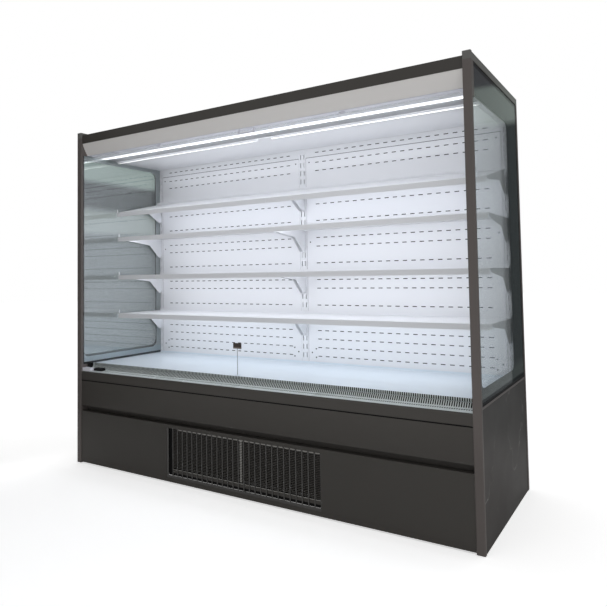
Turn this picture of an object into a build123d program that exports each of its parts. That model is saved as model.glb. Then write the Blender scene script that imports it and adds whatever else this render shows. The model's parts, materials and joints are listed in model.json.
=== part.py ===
"""Open multideck display fridge.

Millimetres. X runs along the front, +Y points to the back, +Z is up.
The origin lies on the floor under the middle of the cabinet.
"""
from build123d import *
from math import atan2, cos, floor, hypot, radians, sin, tan
import os

# ---- overall size ----
width = 2500
depth = 850
height = 2050

# ---- clearances ----
bed_gap = 0.3           # between pieces that are slid or hooked into place
running_gap = 0.05      # round a shaft, on the radius
shelf_end_gap = 4       # between a shelf and the end glass
seam_gap = 2            # dark seam between front panels
floor_gap = 2           # under posts and side panels
panel_floor_gap = 8     # under the lower front panel

# ---- sheet and board thicknesses ----
sheet = 1.5
thin_sheet = 1.2
skin = 2
foam_wall = 68
foam_floor = 40
foam_front = 22

# ---- front posts ----
post_width = 37
post_nose = 18
post_nose_radius = 5
tongue_width = 8.7
tongue_depth = 30
flange_depth = 20
flange_drop = 190

# ---- ends of the cabinet ----
end_thickness = 28
pane = 5
base_board = 25
side_base_height = 572
seal_height = 26
front_seal = 3
top_seal = 6
top_rail_height = 36
top_rail_chamfer = 4
trim_gauge = 2
trim_back_leg = 40
trim_side_leg = 26
spacer_width = 12
rear_inset = 10         # rear cover stands in from the rear plane

# ---- fronts, heights above the floor ----
lower_panel_top = 318
apron_bottom = 352
bumper_bottom = 508
bumper_top = 558
panel_setback = 5
bumper_setback = 4
bumper_round = 9
panel_return = 20
hem = 10
louvre_half_width = 494
louvre_bottom = 31
louvre_top = 299
louvre_columns = 26
louvre_bar = 9
louvre_border = 8
blade_pitch = 10
blade_rise = 5
blade_run = 4
blade_gauge = 1

# ---- base frame and feet ----
tube = 40
frame_bottom = 38
recess_cover = 12        # how far the panel's upstand passes behind the apron
foot_radius = 23
foot_pad = 9
foot_side_count = 12
foot_taper = 18
foot_stud_radius = 6
foot_inset = 100         # of the outer feet from the ends
cross_spacing = 1000

# ---- tank under the deck ----
tank_bottom = 370
tank_front_wall_top = 556
deck_top = 597
deck_front_setback = 98
deck_lip = 15
deck_upstand = 10
drain_radius = 16
drain_wall = 2
drain_length = 60
drain_x = -760
drain_inset = 80         # from the rear insulation

# ---- air return grille ----
return_front_setback = 10
return_gauge = 3
return_bar_sink = 1     # of the bars below the rim
return_front_border = 12
return_small_slot = 14
return_rib = 9
return_slot = 48
return_slot_width = 13
slot_pitch_return = 25

# ---- back wall ----
upright_depth = 96
ceiling_drop = 145      # below the top of the cabinet
strip_height = 55       # from the ceiling down to the back panels
upright_half = 24
end_upright_width = 26
column_x = 12           # slot column from the middle of the centre upright
upright_slot = (5, 30)
hook_pitch = 50.6
air_slot = (25, 3)
air_slot_pitch = 50.6
air_slot_columns = 21
air_slot_rows = (743, 1101, 1561)
strip_row_drop = 27     # below the ceiling

# ---- shelves, numbered from the top ----
shelf_levels = 4
shelf_step = 5          # hook pitches from one shelf to the next
lowest_shelf = 896
shelf_tilt = 13
shelf_depth = 387
shelf_back_gap = 8
shelf_upstand = 15
shelf_gauge = 1.2
rail_drop = 28
rail_lean = 2
rail_hem = 9
bracket_gauge = 3
bracket_reach = 344
bracket_nose_drop = 10
bracket_fore = (309, 22)
bracket_knee = (114, 46)
bracket_foot = (29, 130)
upper_hook_drop = 50
upper_hook_reach = 26
nose_radius = 6         # round nose that the bracket rocks on, in the slot below its hook
hook_height = 12
strip_light = (18, 8)
strip_light_back = 372
strip_light_end_gap = 12

# ---- canopy ----
fascia_setback = 10
fascia_bottom_drop = 69
fascia_top_drop = 15
fascia_cover = 50
canopy_lift = 3         # underside of the canopy above the ceiling
deflector_end_setback = 49
lamp_front_setback = 100
lamp_back_setback = 200
lamp_tray_height = 34
diffuser_gauge = 2
diffuser_bulge = 2.5
outlet_back_setback = 286
outlet_height = 37
outlet_rail = 2
outlet_cell = 90
ceiling_lip = 24
tube_lamp_radius = 5
tube_lamp_setback = 294
tube_lamp_drop = 7
tube_lamp_gap = (-50, 45)
tube_lamp_clip = 14

# ---- night blind ----
cassette_setback = 51
cassette_depth = 48
blind_slit = 8
roller_radius = 17
roller_setback = 80
roller_drop = 99
roller_end_gap = 27      # to each end glass
roller_pin_radius = 5
roller_pin = 12
bar_end_gap = 17
bar_depth = 44
bar_height = 7
fabric_gauge = 0.6
fabric_margin = 5
handle_x = 35
handle_width = 104
handle_drop = 22
handle_bar = 7
tab_x = 610
tab_width = 36
tab_drop = 12

# ---- refrigeration ----
fan_plate_setback = 262
fan_radius = 72
fan_hub = 20
hub_side_count = 12
fan_thickness = 26
fan_blades = 5
fan_spacing = 740
fan_height = 502
fan_ring_gap = 4
motor_radius = 26
motor_side_count = 12
motor_length = 44
shaft_radius = 4
shaft_reach = 18
blade_pitch_angle = 32
blade_half = 0.22       # half the blade's width, as a share of the fan's radius
condenser_half = 470
condenser_height = 230
condenser_setback = 84
condenser_depth = 46
condenser_fan_radius = 96
shroud_depth = 40
evaporator_half = 1000
evaporator_setback = 340
evaporator_depth = 280
evaporator_height = 140
coil_plate = 2
fin_count = 12
fin_proud = 4
compressor_at = (660, 470)
compressor_radius = 92
compressor_height = 215
compressor_foot = 14
compressor_dome = 38
shell_side_count = 20
tray_half = 170
tray_behind_drain = 60
tray_depth = 200
tray_height = 60
box_at = (850, 110)
control_box_size = (180, 190, 150)
vent_slot = (160, 10)
vent_pitch = (240, 60)
vent_count = (6, 3)
gland_at = (950, 120)
gland_radius = 12
gland_side_count = 12

# ---- ticket on its stem ----
ticket_at = (-92, 135)
ticket_size = (54, 3, 30)
ticket_stem = 140
stem_width = 3
ticket_foot = (30, 22, 2)

# ---- places that follow from the sizes ----
front = -depth / 2
back = depth / 2
half = width / 2
inner_half = half - end_thickness
bay_half = half - post_width
glass_front = front + post_nose + front_seal
rear_face = back - trim_gauge
side_x = (inner_half, half - skin)
wall_front = rear_face - foam_wall
fascia_top = height - fascia_top_drop
fascia_bottom = height - fascia_bottom_drop
ceiling = height - ceiling_drop
panel_top = ceiling - strip_height
canopy_underside = ceiling + canopy_lift
roof_top = fascia_top - skin
rail_bottom = height - top_rail_height
glass_bottom = side_base_height + seal_height
glass_top = rail_bottom - top_seal
tank_floor_top = tank_bottom + foam_floor
back_face = wall_front - upright_depth
frame_front = front + post_nose + tongue_depth
frame_back = back - rear_inset - skin - tube
end_column_x = inner_half - end_upright_width / 2
slot_columns = (-end_column_x, -column_x, column_x, end_column_x)
shelf_rise = shelf_step * hook_pitch
top_shelf = lowest_shelf + shelf_rise * (shelf_levels - 1)
pivot_drop = upper_hook_drop + hook_pitch
heel_drop = bracket_foot[1] - pivot_drop
bracket_heel = heel_drop * tan(radians(shelf_tilt)) + bed_gap / cos(radians(shelf_tilt))
fan_centres = (-fan_spacing, 0, fan_spacing)
unit_floor = frame_bottom + tube + skin
fabric_plane = front + roller_setback - roller_radius - bed_gap - fabric_gauge
sides = {"left": -1, "right": 1}

os.makedirs("parts", exist_ok=True)


def save(piece, name):
    """Label a finished piece and write it to its own file."""
    piece.part.label = name
    export_step(piece.part, f"parts/{name}.step")


def block(x, y, z, mode=Mode.ADD):
    """Square-edged block between two limits on each axis."""
    with Locations((min(x), min(y), min(z))):
        Box(abs(x[1] - x[0]), abs(y[1] - y[0]), abs(z[1] - z[0]),
            align=(Align.MIN, Align.MIN, Align.MIN), mode=mode)


def rod(start, axis, radius, length, mode=Mode.ADD):
    """Round bar that starts at a point and runs along an axis."""
    with Locations(Plane(origin=start, z_dir=axis)):
        Cylinder(radius, length, align=(Align.CENTER, Align.CENTER, Align.MIN), mode=mode)


def around(middle, size):
    """Limits of a length centred on a place."""
    return middle - size / 2, middle + size / 2


def mirrored(limits, side):
    """Limits along X on the left (-1) or right (1) side."""
    return side * limits[0], side * limits[1]


# ======== base ========
with BuildPart() as base_frame:
    rails = ((frame_front, frame_front + tube), (frame_back, frame_back + tube))
    frame_z = (frame_bottom, frame_bottom + tube)
    for rail_y in rails:
        block((-inner_half, inner_half), rail_y, frame_z)
        for leg_x in (-inner_half, -tube / 2, inner_half - tube):
            if leg_x != -tube / 2 or rail_y == rails[1]:
                block((leg_x, leg_x + tube), rail_y, (frame_z[1], tank_bottom))
    for cross_x in (-inner_half, -cross_spacing, -tube / 2, cross_spacing - tube, inner_half - tube):
        block((cross_x, cross_x + tube), (rails[0][1], rails[1][0]), frame_z)
    block((-inner_half, inner_half), (rails[0][0], rails[1][1]), (frame_z[1], unit_floor))
save(base_frame, "base_frame")

with BuildPart() as levelling_feet:
    for foot_x in (foot_inset - half, 0, half - foot_inset):
        for rail_y in rails:
            centre = (foot_x, sum(rail_y) / 2)
            with BuildSketch(Plane.XY):
                with Locations(centre):
                    RegularPolygon(foot_radius, foot_side_count)
            extrude(amount=foot_pad, taper=foot_taper)
            with BuildSketch(Plane.XY.offset(foot_pad)):
                with Locations(centre):
                    RegularPolygon(foot_stud_radius, foot_side_count)
            extrude(amount=frame_bottom - foot_pad)
save(levelling_feet, "levelling_feet")

with BuildPart() as insulated_tank:
    with BuildSketch(Plane.YZ.offset(-inner_half)):
        with BuildLine():
            Polyline(
                (frame_front, tank_bottom),
                (wall_front, tank_bottom),
                (wall_front, tank_floor_top),
                (frame_front + foam_front + hem, tank_floor_top),
                (frame_front + foam_front, tank_floor_top + hem),
                (frame_front + foam_front, tank_front_wall_top),
                (frame_front, tank_front_wall_top),
                close=True,
            )
        make_face()
    extrude(amount=2 * inner_half)
    drain_at = (drain_x, wall_front - drain_inset)
    rod((*drain_at, tank_bottom - drain_length), (0, 0, 1), drain_radius, drain_length)
    rod((*drain_at, tank_bottom - drain_length), (0, 0, 1), drain_radius - drain_wall,
        drain_length + foam_floor, mode=Mode.SUBTRACT)
save(insulated_tank, "insulated_tank")

with BuildPart() as insulated_back:
    block((-inner_half, inner_half), (wall_front, rear_face), (tank_bottom, fascia_bottom))
    chamfer(insulated_back.edges().filter_by(Axis.X).group_by(Axis.Y)[-1], skin)
save(insulated_back, "insulated_back")

with BuildPart() as insulated_roof:
    block((-inner_half, inner_half), (front + fascia_setback + skin, rear_face), (fascia_bottom, roof_top))
    for side in sides.values():
        block(mirrored((bay_half, inner_half), side), (front, front + post_nose + tongue_depth),
              (fascia_bottom, roof_top), mode=Mode.SUBTRACT)
save(insulated_roof, "insulated_roof")

# ======== ends of the cabinet ========
for name, side in sides.items():
    with BuildPart() as front_post:
        with BuildSketch(Plane.XY.offset(floor_gap)) as plan:
            with Locations((side * (bay_half + half) / 2, front + post_nose / 2)):
                Rectangle(post_width, post_nose)
            fillet(plan.vertices().group_by(Axis.Y)[0], post_nose_radius)
        extrude(amount=height - floor_gap)
        for tongue_z in ((floor_gap, glass_bottom), (canopy_underside, height)):
            block(mirrored((bay_half, bay_half + tongue_width), side),
                  (front + post_nose, front + post_nose + tongue_depth), tongue_z)
        block(mirrored((half - skin, half), side),
              (front + post_nose, front + post_nose + flange_depth), (height - flange_drop, rail_bottom))
    save(front_post, f"front_post_{name}")

    with BuildPart() as side_base:
        block(mirrored((side_x[1] - base_board, side_x[1]), side), (front + post_nose, rear_face),
              (floor_gap, side_base_height))
        chamfer(side_base.edges().filter_by(Axis.Y).group_by(Axis.Z)[-1], skin)
    save(side_base, f"side_base_{name}")

    with BuildPart() as end_glass:
        for pane_x in ((side_x[0], side_x[0] + pane), (side_x[1] - pane, side_x[1])):
            block(mirrored(pane_x, side), (glass_front, rear_face), (glass_bottom, glass_top))
    save(end_glass, f"end_glass_{name}")

with BuildPart() as glass_seals:
    cavity = (side_x[0] + pane, side_x[1] - pane)
    for side in sides.values():
        spacer_x = mirrored(cavity, side)
        for z in (glass_bottom, glass_top - spacer_width):
            block(spacer_x, (glass_front, rear_face), (z, z + spacer_width))
        for y in (glass_front, rear_face - spacer_width):
            block(spacer_x, (y, y + spacer_width), (glass_bottom, glass_top))
        seal_x = mirrored((side_x[0] + skin, side_x[1] - skin), side)
        block(seal_x, (front + post_nose, rear_face), (side_base_height, glass_bottom))
        block(seal_x, (front + post_nose, rear_face), (glass_top, rail_bottom))
        block(seal_x, (front + post_nose, glass_front), (glass_bottom, glass_top))
save(glass_seals, "glass_seals")

with BuildPart() as end_trims:
    for side in sides.values():
        with BuildSketch(Plane.XZ.offset(-front - post_nose)) as rail_section:
            with Locations((side * (inner_half + half) / 2, (rail_bottom + height) / 2)):
                Rectangle(end_thickness, top_rail_height)
            outer_top = rail_section.vertices().group_by(Axis.Y)[-1].sort_by(Axis.X)[-1 if side > 0 else 0]
            chamfer(outer_top, top_rail_chamfer)
        extrude(amount=-(depth - post_nose))
        block(mirrored((half - trim_back_leg, half), side), (rear_face, back), (floor_gap, rail_bottom))
        block(mirrored((half - trim_gauge, half), side), (back - trim_side_leg, rear_face),
              (floor_gap, rail_bottom))
save(end_trims, "end_trims")

# ======== fronts ========
front_span = 2 * bay_half

with BuildPart() as lower_panel:
    face_y = front + panel_setback
    with BuildSketch(Plane.YZ.offset(-bay_half)):
        with BuildLine():
            Polyline(
                (frame_front, apron_bottom + recess_cover),
                (frame_front - sheet, apron_bottom + recess_cover),
                (frame_front - sheet, lower_panel_top),
                (face_y, lower_panel_top),
                (face_y, panel_floor_gap),
                (face_y + panel_return, panel_floor_gap),
                (face_y + panel_return, panel_floor_gap + sheet),
                (face_y + sheet, panel_floor_gap + sheet),
                (face_y + sheet, lower_panel_top - sheet),
                (frame_front, lower_panel_top - sheet),
                close=True,
            )
        make_face()
    extrude(amount=front_span)
    block((-louvre_half_width, louvre_half_width), (face_y, face_y + sheet), (louvre_bottom, louvre_top),
          mode=Mode.SUBTRACT)
save(lower_panel, "lower_panel")

with BuildPart() as louvre_grille:
    grille_width = 2 * louvre_half_width + 2 * louvre_border
    grille_height = louvre_top - louvre_bottom + 2 * louvre_border
    grille_face = face_y + sheet
    column_pitch = 2 * louvre_half_width / louvre_columns
    with BuildSketch(Plane.XZ.offset(-grille_face)):
        with Locations((0, (louvre_bottom + louvre_top) / 2)):
            Rectangle(grille_width, grille_height)
            with GridLocations(column_pitch, 1, louvre_columns, 1):
                Rectangle(column_pitch - louvre_bar, louvre_top - louvre_bottom, mode=Mode.SUBTRACT)
    extrude(amount=-skin)
    blade_y = grille_face + skin + bed_gap
    for side in sides.values():
        block(mirrored((louvre_half_width, louvre_half_width + louvre_border), side),
              (grille_face + skin, blade_y + blade_run + blade_gauge), (louvre_bottom, louvre_top))
    blade_count = floor((louvre_top - louvre_bottom - blade_rise) / blade_pitch)
    for step in range(blade_count):
        z = louvre_bottom + blade_pitch * (step + 0.5)
        with BuildSketch(Plane.YZ.offset(-louvre_half_width)):
            with BuildLine():
                Polyline((blade_y, z), (blade_y + blade_run, z + blade_rise),
                         (blade_y + blade_run, z + blade_rise + blade_gauge), (blade_y, z + blade_gauge),
                         close=True)
            make_face()
        extrude(amount=2 * louvre_half_width)
save(louvre_grille, "louvre_grille")

with BuildPart() as upper_apron:
    apron_top = bumper_bottom - seam_gap
    with BuildSketch(Plane.YZ.offset(-bay_half)):
        with BuildLine():
            Polyline(
                (frame_front, apron_top),
                (face_y, apron_top),
                (face_y, apron_bottom),
                (face_y + panel_return, apron_bottom),
                (face_y + panel_return, apron_bottom + hem),
                (face_y + panel_return - sheet, apron_bottom + hem),
                (face_y + panel_return - sheet, apron_bottom + sheet),
                (face_y + sheet, apron_bottom + sheet),
                (face_y + sheet, apron_top - sheet),
                (frame_front, apron_top - sheet),
                close=True,
            )
        make_face()
    extrude(amount=front_span)
save(upper_apron, "upper_apron")

with BuildPart() as bumper_rail:
    bumper_y = front + bumper_setback
    with BuildSketch(Plane.YZ.offset(-bay_half)) as section:
        with BuildLine():
            Polyline(
                (frame_front + foam_front, bumper_top),
                (bumper_y, bumper_top),
                (bumper_y, bumper_bottom),
                (frame_front, bumper_bottom),
                (frame_front, bumper_bottom + skin),
                (bumper_y + skin, bumper_bottom + skin),
                (bumper_y + skin, bumper_top - skin),
                (frame_front + foam_front, bumper_top - skin),
                close=True,
            )
        make_face()
        inside = section.vertices().group_by(Axis.X)[1].sort_by(Axis.Y)[-1]
        fillet(inside, bumper_round - skin)
        outside = section.vertices().group_by(Axis.X)[0].sort_by(Axis.Y)[-1]
        fillet(outside, bumper_round)
    extrude(amount=front_span)
save(bumper_rail, "bumper_rail")

# ======== deck and air return ========
with BuildPart() as deck_panels:
    deck_front = front + deck_front_setback
    deck_end = back_face - seam_gap
    for side in sides.values():
        with BuildSketch(Plane.YZ.offset(bed_gap if side > 0 else -inner_half + bed_gap)):
            with BuildLine():
                Polyline(
                    (deck_front, deck_top - deck_lip),
                    (deck_front, deck_top),
                    (deck_end - sheet, deck_top),
                    (deck_end - sheet, deck_top + deck_upstand),
                    (deck_end, deck_top + deck_upstand),
                    (deck_end, deck_top - sheet),
                    (deck_front + sheet, deck_top - sheet),
                    (deck_front + sheet, deck_top - deck_lip),
                    close=True,
                )
            make_face()
        extrude(amount=inner_half - 2 * bed_gap)
save(deck_panels, "deck_panels")

return_start = (front + return_front_setback, bumper_top)
return_rise = deck_top - deck_lip - bumper_top
return_run = deck_front_setback - return_front_setback
return_slope = atan2(return_rise, return_run)
return_length = hypot(return_rise, return_run) - return_gauge * sin(return_slope)
return_plane = Plane(origin=(0, *return_start), x_dir=(1, 0, 0),
                     z_dir=(0, -sin(return_slope), cos(return_slope)))

with BuildPart() as air_return_grille:
    window_start = return_front_border + return_small_slot + return_rib
    window = (bay_half - return_rib, window_start, window_start + return_slot)
    with BuildSketch(return_plane):
        with Locations((0, return_length / 2)):
            Rectangle(2 * bay_half, return_length)
        with Locations((0, (window[1] + window[2]) / 2)):
            Rectangle(2 * window[0], window[2] - window[1], mode=Mode.SUBTRACT)
    extrude(amount=return_gauge)
    bar_count = floor(2 * window[0] / slot_pitch_return) - 1
    with BuildSketch(return_plane):
        with Locations((0, (window[1] + window[2]) / 2)):
            with GridLocations(slot_pitch_return, 1, bar_count, 1):
                Rectangle(slot_pitch_return - return_slot_width, window[2] - window[1])
    extrude(amount=return_gauge - return_bar_sink)
save(air_return_grille, "air_return_grille")

# ======== back wall ========
with BuildPart() as shelf_uprights:
    first_slot = lowest_shelf - upper_hook_drop
    slots_below = floor((first_slot - deck_top - upright_slot[1]) / hook_pitch)
    slots_above = floor((ceiling - upright_slot[1] - first_slot) / hook_pitch)
    slot_heights = [first_slot + hook_pitch * n for n in range(-slots_below, slots_above + 1)]
    channels = ((-inner_half, -inner_half + end_upright_width), (-upright_half, upright_half),
                (inner_half - end_upright_width, inner_half))
    for low, high in channels:
        with BuildSketch(Plane.XZ.offset(-back_face)):
            with Locations(((low + high) / 2, (deck_top + ceiling) / 2)):
                Rectangle(high - low, ceiling - deck_top)
            slots_here = [(x, z) for x in slot_columns for z in slot_heights if low < x < high]
            with Locations(slots_here):
                Rectangle(*upright_slot, mode=Mode.SUBTRACT)
        extrude(amount=-skin)
        for leg in ((low, low + sheet), (high - sheet, high)):
            block(leg, (back_face + skin, wall_front), (deck_top, ceiling))
save(shelf_uprights, "shelf_uprights")

panel_inner = upright_half + bed_gap
panel_outer = inner_half - end_upright_width - bed_gap
panel_middle = (panel_inner + panel_outer) / 2
panel_bottom = deck_top + bed_gap
for name, side in sides.items():
    with BuildPart() as back_panel:
        with BuildSketch(Plane.XZ.offset(-back_face - sheet)):
            with Locations((side * panel_middle, (panel_bottom + panel_top) / 2)):
                Rectangle(panel_outer - panel_inner, panel_top - panel_bottom)
            for row in air_slot_rows:
                with Locations((side * panel_middle, row)):
                    with GridLocations(air_slot_pitch, 1, air_slot_columns, 1):
                        Rectangle(*air_slot, mode=Mode.SUBTRACT)
        extrude(amount=-sheet)
    save(back_panel, f"back_panel_{name}")

with BuildPart() as back_top_strips:
    for side in sides.values():
        with BuildSketch(Plane.XZ.offset(-back_face - sheet)):
            with Locations((side * panel_middle, (panel_top + seam_gap + ceiling) / 2)):
                Rectangle(panel_outer - panel_inner, ceiling - panel_top - seam_gap)
            with Locations((side * panel_middle, ceiling - strip_row_drop)):
                with GridLocations(air_slot_pitch, 1, air_slot_columns, 1):
                    Rectangle(*air_slot, mode=Mode.SUBTRACT)
        extrude(amount=-sheet)
save(back_top_strips, "back_top_strips")

with BuildPart() as ceiling_panel:
    lip_y = front + outlet_back_setback
    with BuildSketch(Plane.YZ.offset(-inner_half)):
        with BuildLine():
            Polyline(
                (lip_y, ceiling + ceiling_lip),
                (lip_y, ceiling),
                (wall_front, ceiling),
                (wall_front, ceiling + sheet),
                (lip_y + sheet, ceiling + sheet),
                (lip_y + sheet, ceiling + ceiling_lip),
                close=True,
            )
        make_face()
    extrude(amount=2 * inner_half)
save(ceiling_panel, "ceiling_panel")

# ======== canopy ========
with BuildPart() as header_fascia:
    fascia_y = front + fascia_setback
    with BuildSketch(Plane.YZ.offset(-bay_half)):
        with BuildLine():
            Polyline(
                (fascia_y, fascia_bottom),
                (fascia_y, fascia_top),
                (fascia_y + fascia_cover, fascia_top),
                (fascia_y + fascia_cover, fascia_top - skin),
                (fascia_y + skin, fascia_top - skin),
                (fascia_y + skin, fascia_bottom),
                close=True,
            )
        make_face()
    extrude(amount=front_span)
save(header_fascia, "header_fascia")

with BuildPart() as canopy_deflector:
    foot = (front + deflector_end_setback, canopy_underside + skin)
    head = (fascia_y + skin, fascia_bottom)
    bend = ((foot[0] + head[0]) / 2 - skin, (foot[1] + head[1]) / 2 - skin)
    with BuildSketch(Plane.YZ.offset(-bay_half)):
        with BuildLine():
            ThreePointArc(head, bend, foot)
            Polyline(foot, (foot[0] + sheet, foot[1]), (foot[0] + sheet, fascia_bottom),
                     (foot[0], fascia_bottom), (foot[0], foot[1] + 3 * skin))
            ThreePointArc((foot[0], foot[1] + 3 * skin), (bend[0] + sheet, bend[1] + sheet),
                          (head[0] + skin, head[1]))
            Line((head[0] + skin, head[1]), head)
        make_face()
    extrude(amount=front_span)
save(canopy_deflector, "canopy_deflector")

canopy_half = inner_half - bed_gap
lamp_y = (front + lamp_front_setback, front + lamp_back_setback)
tray_z = canopy_underside + lamp_tray_height
with BuildPart() as lamp_housing:
    lamp_x = (-canopy_half, canopy_half)
    for wall_y in ((lamp_y[0], lamp_y[0] + thin_sheet), (lamp_y[1] - thin_sheet, lamp_y[1])):
        block(lamp_x, wall_y, (canopy_underside, fascia_bottom))
    block(lamp_x, lamp_y, (tray_z, tray_z + thin_sheet))
save(lamp_housing, "lamp_housing")

with BuildPart() as lamp_diffuser:
    lens_y = (lamp_y[0] + thin_sheet, lamp_y[1] - thin_sheet)
    middle = (lens_y[0] + lens_y[1]) / 2
    lens_z = canopy_underside + diffuser_bulge
    with BuildSketch(Plane.YZ.offset(-canopy_half)):
        with BuildLine():
            ThreePointArc((lens_y[0], lens_z), (middle, lens_z - diffuser_bulge), (lens_y[1], lens_z))
            Line((lens_y[1], lens_z), (lens_y[1], lens_z + diffuser_gauge))
            ThreePointArc((lens_y[1], lens_z + diffuser_gauge),
                          (middle, lens_z - diffuser_bulge + diffuser_gauge),
                          (lens_y[0], lens_z + diffuser_gauge))
            Line((lens_y[0], lens_z + diffuser_gauge), (lens_y[0], lens_z))
        make_face()
    extrude(amount=2 * canopy_half)
save(lamp_diffuser, "lamp_diffuser")

with BuildPart() as air_outlet:
    outlet_y = (lamp_y[1], front + outlet_back_setback)
    outlet_z = (canopy_underside, canopy_underside + outlet_height)
    for rail_y in ((outlet_y[0], outlet_y[0] + outlet_rail), (outlet_y[1] - outlet_rail, outlet_y[1])):
        block((-canopy_half, canopy_half), rail_y, outlet_z)
    cell_count = floor((2 * canopy_half - outlet_rail) / outlet_cell)
    with BuildSketch(Plane.XY.offset(outlet_z[0])):
        with Locations((0, (outlet_y[0] + outlet_y[1]) / 2)):
            with GridLocations(outlet_cell, 1, cell_count, 1):
                Rectangle(1, outlet_y[1] - outlet_y[0] - 2 * outlet_rail)
    extrude(amount=outlet_height)
save(air_outlet, "air_outlet")

with BuildPart() as lamp_tubes:
    tube_y = front + tube_lamp_setback
    tube_z = ceiling - tube_lamp_drop
    tube_end = canopy_half - tube_lamp_clip
    spans = ((-tube_end, tube_lamp_gap[0]), (tube_lamp_gap[1], tube_end))
    for low, high in spans:
        rod((low, tube_y, tube_z), (1, 0, 0), tube_lamp_radius, high - low)
        for clip_x in (low, high - tube_lamp_clip):
            block((clip_x, clip_x + tube_lamp_clip), (tube_y - tube_lamp_radius, tube_y + tube_lamp_radius),
                  (tube_z, ceiling))
save(lamp_tubes, "lamp_tubes")

# ======== night blind ========
cassette_y = (front + cassette_setback, front + cassette_setback + cassette_depth)
cassette_bottom = canopy_underside + bar_height + skin
roller_at = (front + roller_setback, height - roller_drop)
roller_length = 2 * (inner_half - roller_end_gap)
bar_half_length = inner_half - bar_end_gap
slit = (fabric_plane - blind_slit / 2, fabric_plane + blind_slit / 2)
with BuildPart() as blind_cassette:
    with BuildSketch(Plane.YZ.offset(-canopy_half)):
        with BuildLine():
            Polyline(
                (slit[0], cassette_bottom),
                (cassette_y[0], cassette_bottom),
                (cassette_y[0], fascia_bottom),
                (cassette_y[1], fascia_bottom),
                (cassette_y[1], cassette_bottom),
                (slit[1], cassette_bottom),
                (slit[1], cassette_bottom + thin_sheet),
                (cassette_y[1] - thin_sheet, cassette_bottom + thin_sheet),
                (cassette_y[1] - thin_sheet, fascia_bottom - thin_sheet),
                (cassette_y[0] + thin_sheet, fascia_bottom - thin_sheet),
                (cassette_y[0] + thin_sheet, cassette_bottom + thin_sheet),
                (slit[0], cassette_bottom + thin_sheet),
                close=True,
            )
        make_face()
    extrude(amount=2 * canopy_half)
    for side in sides.values():
        cheek = mirrored((roller_length / 2 + bed_gap, canopy_half), side)
        block(cheek, (cassette_y[0] + thin_sheet, cassette_y[1] - thin_sheet),
              (cassette_bottom + thin_sheet, fascia_bottom - thin_sheet))
        rod((cheek[0], *roller_at), (side, 0, 0), roller_pin_radius + running_gap, roller_pin + bed_gap,
            mode=Mode.SUBTRACT)
save(blind_cassette, "blind_cassette")

with BuildPart() as blind_roller:
    rod((-roller_length / 2, *roller_at), (1, 0, 0), roller_radius, roller_length)
    rod((-roller_length / 2 - roller_pin, *roller_at), (1, 0, 0), roller_pin_radius,
        roller_length + 2 * roller_pin)
save(blind_roller, "blind_roller")

with BuildPart() as blind_pull_bar:
    bar_y = (front + cassette_setback + skin, front + cassette_setback + skin + bar_depth)
    bar_top = canopy_underside + bar_height
    with BuildSketch(Plane.YZ.offset(-bar_half_length)) as bar_section:
        with Locations(((bar_y[0] + bar_y[1]) / 2, (canopy_underside + bar_top) / 2)):
            Rectangle(bar_depth, bar_height)
        fillet(bar_section.vertices().group_by(Axis.Y)[0], bar_height / 3)
    extrude(amount=2 * bar_half_length)
    grip_y = (bar_y[0] + bar_y[1]) / 2
    with BuildSketch(Plane.XZ.offset(-grip_y)):
        with Locations((handle_x, canopy_underside - handle_drop / 2)):
            Rectangle(handle_width, handle_drop)
        with Locations((handle_x, canopy_underside - (handle_drop - handle_bar) / 2)):
            Rectangle(handle_width - 2 * handle_bar, handle_drop - handle_bar, mode=Mode.SUBTRACT)
    extrude(amount=handle_bar / 2, both=True)
    for side in sides.values():
        with BuildSketch(Plane.XZ.offset(-grip_y)):
            with Locations((side * tab_x, canopy_underside)):
                Ellipse(tab_width / 2, tab_drop)
                Rectangle(tab_width, tab_drop, align=(Align.CENTER, Align.MIN), mode=Mode.SUBTRACT)
        extrude(amount=handle_bar / 2, both=True)
save(blind_pull_bar, "blind_pull_bar")

with BuildPart() as blind_fabric:
    fabric_half = roller_length / 2 - fabric_margin
    block((-fabric_half, fabric_half), (fabric_plane, fabric_plane + fabric_gauge),
          (bar_top + bed_gap, roller_at[1]))
save(blind_fabric, "blind_fabric")

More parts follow.
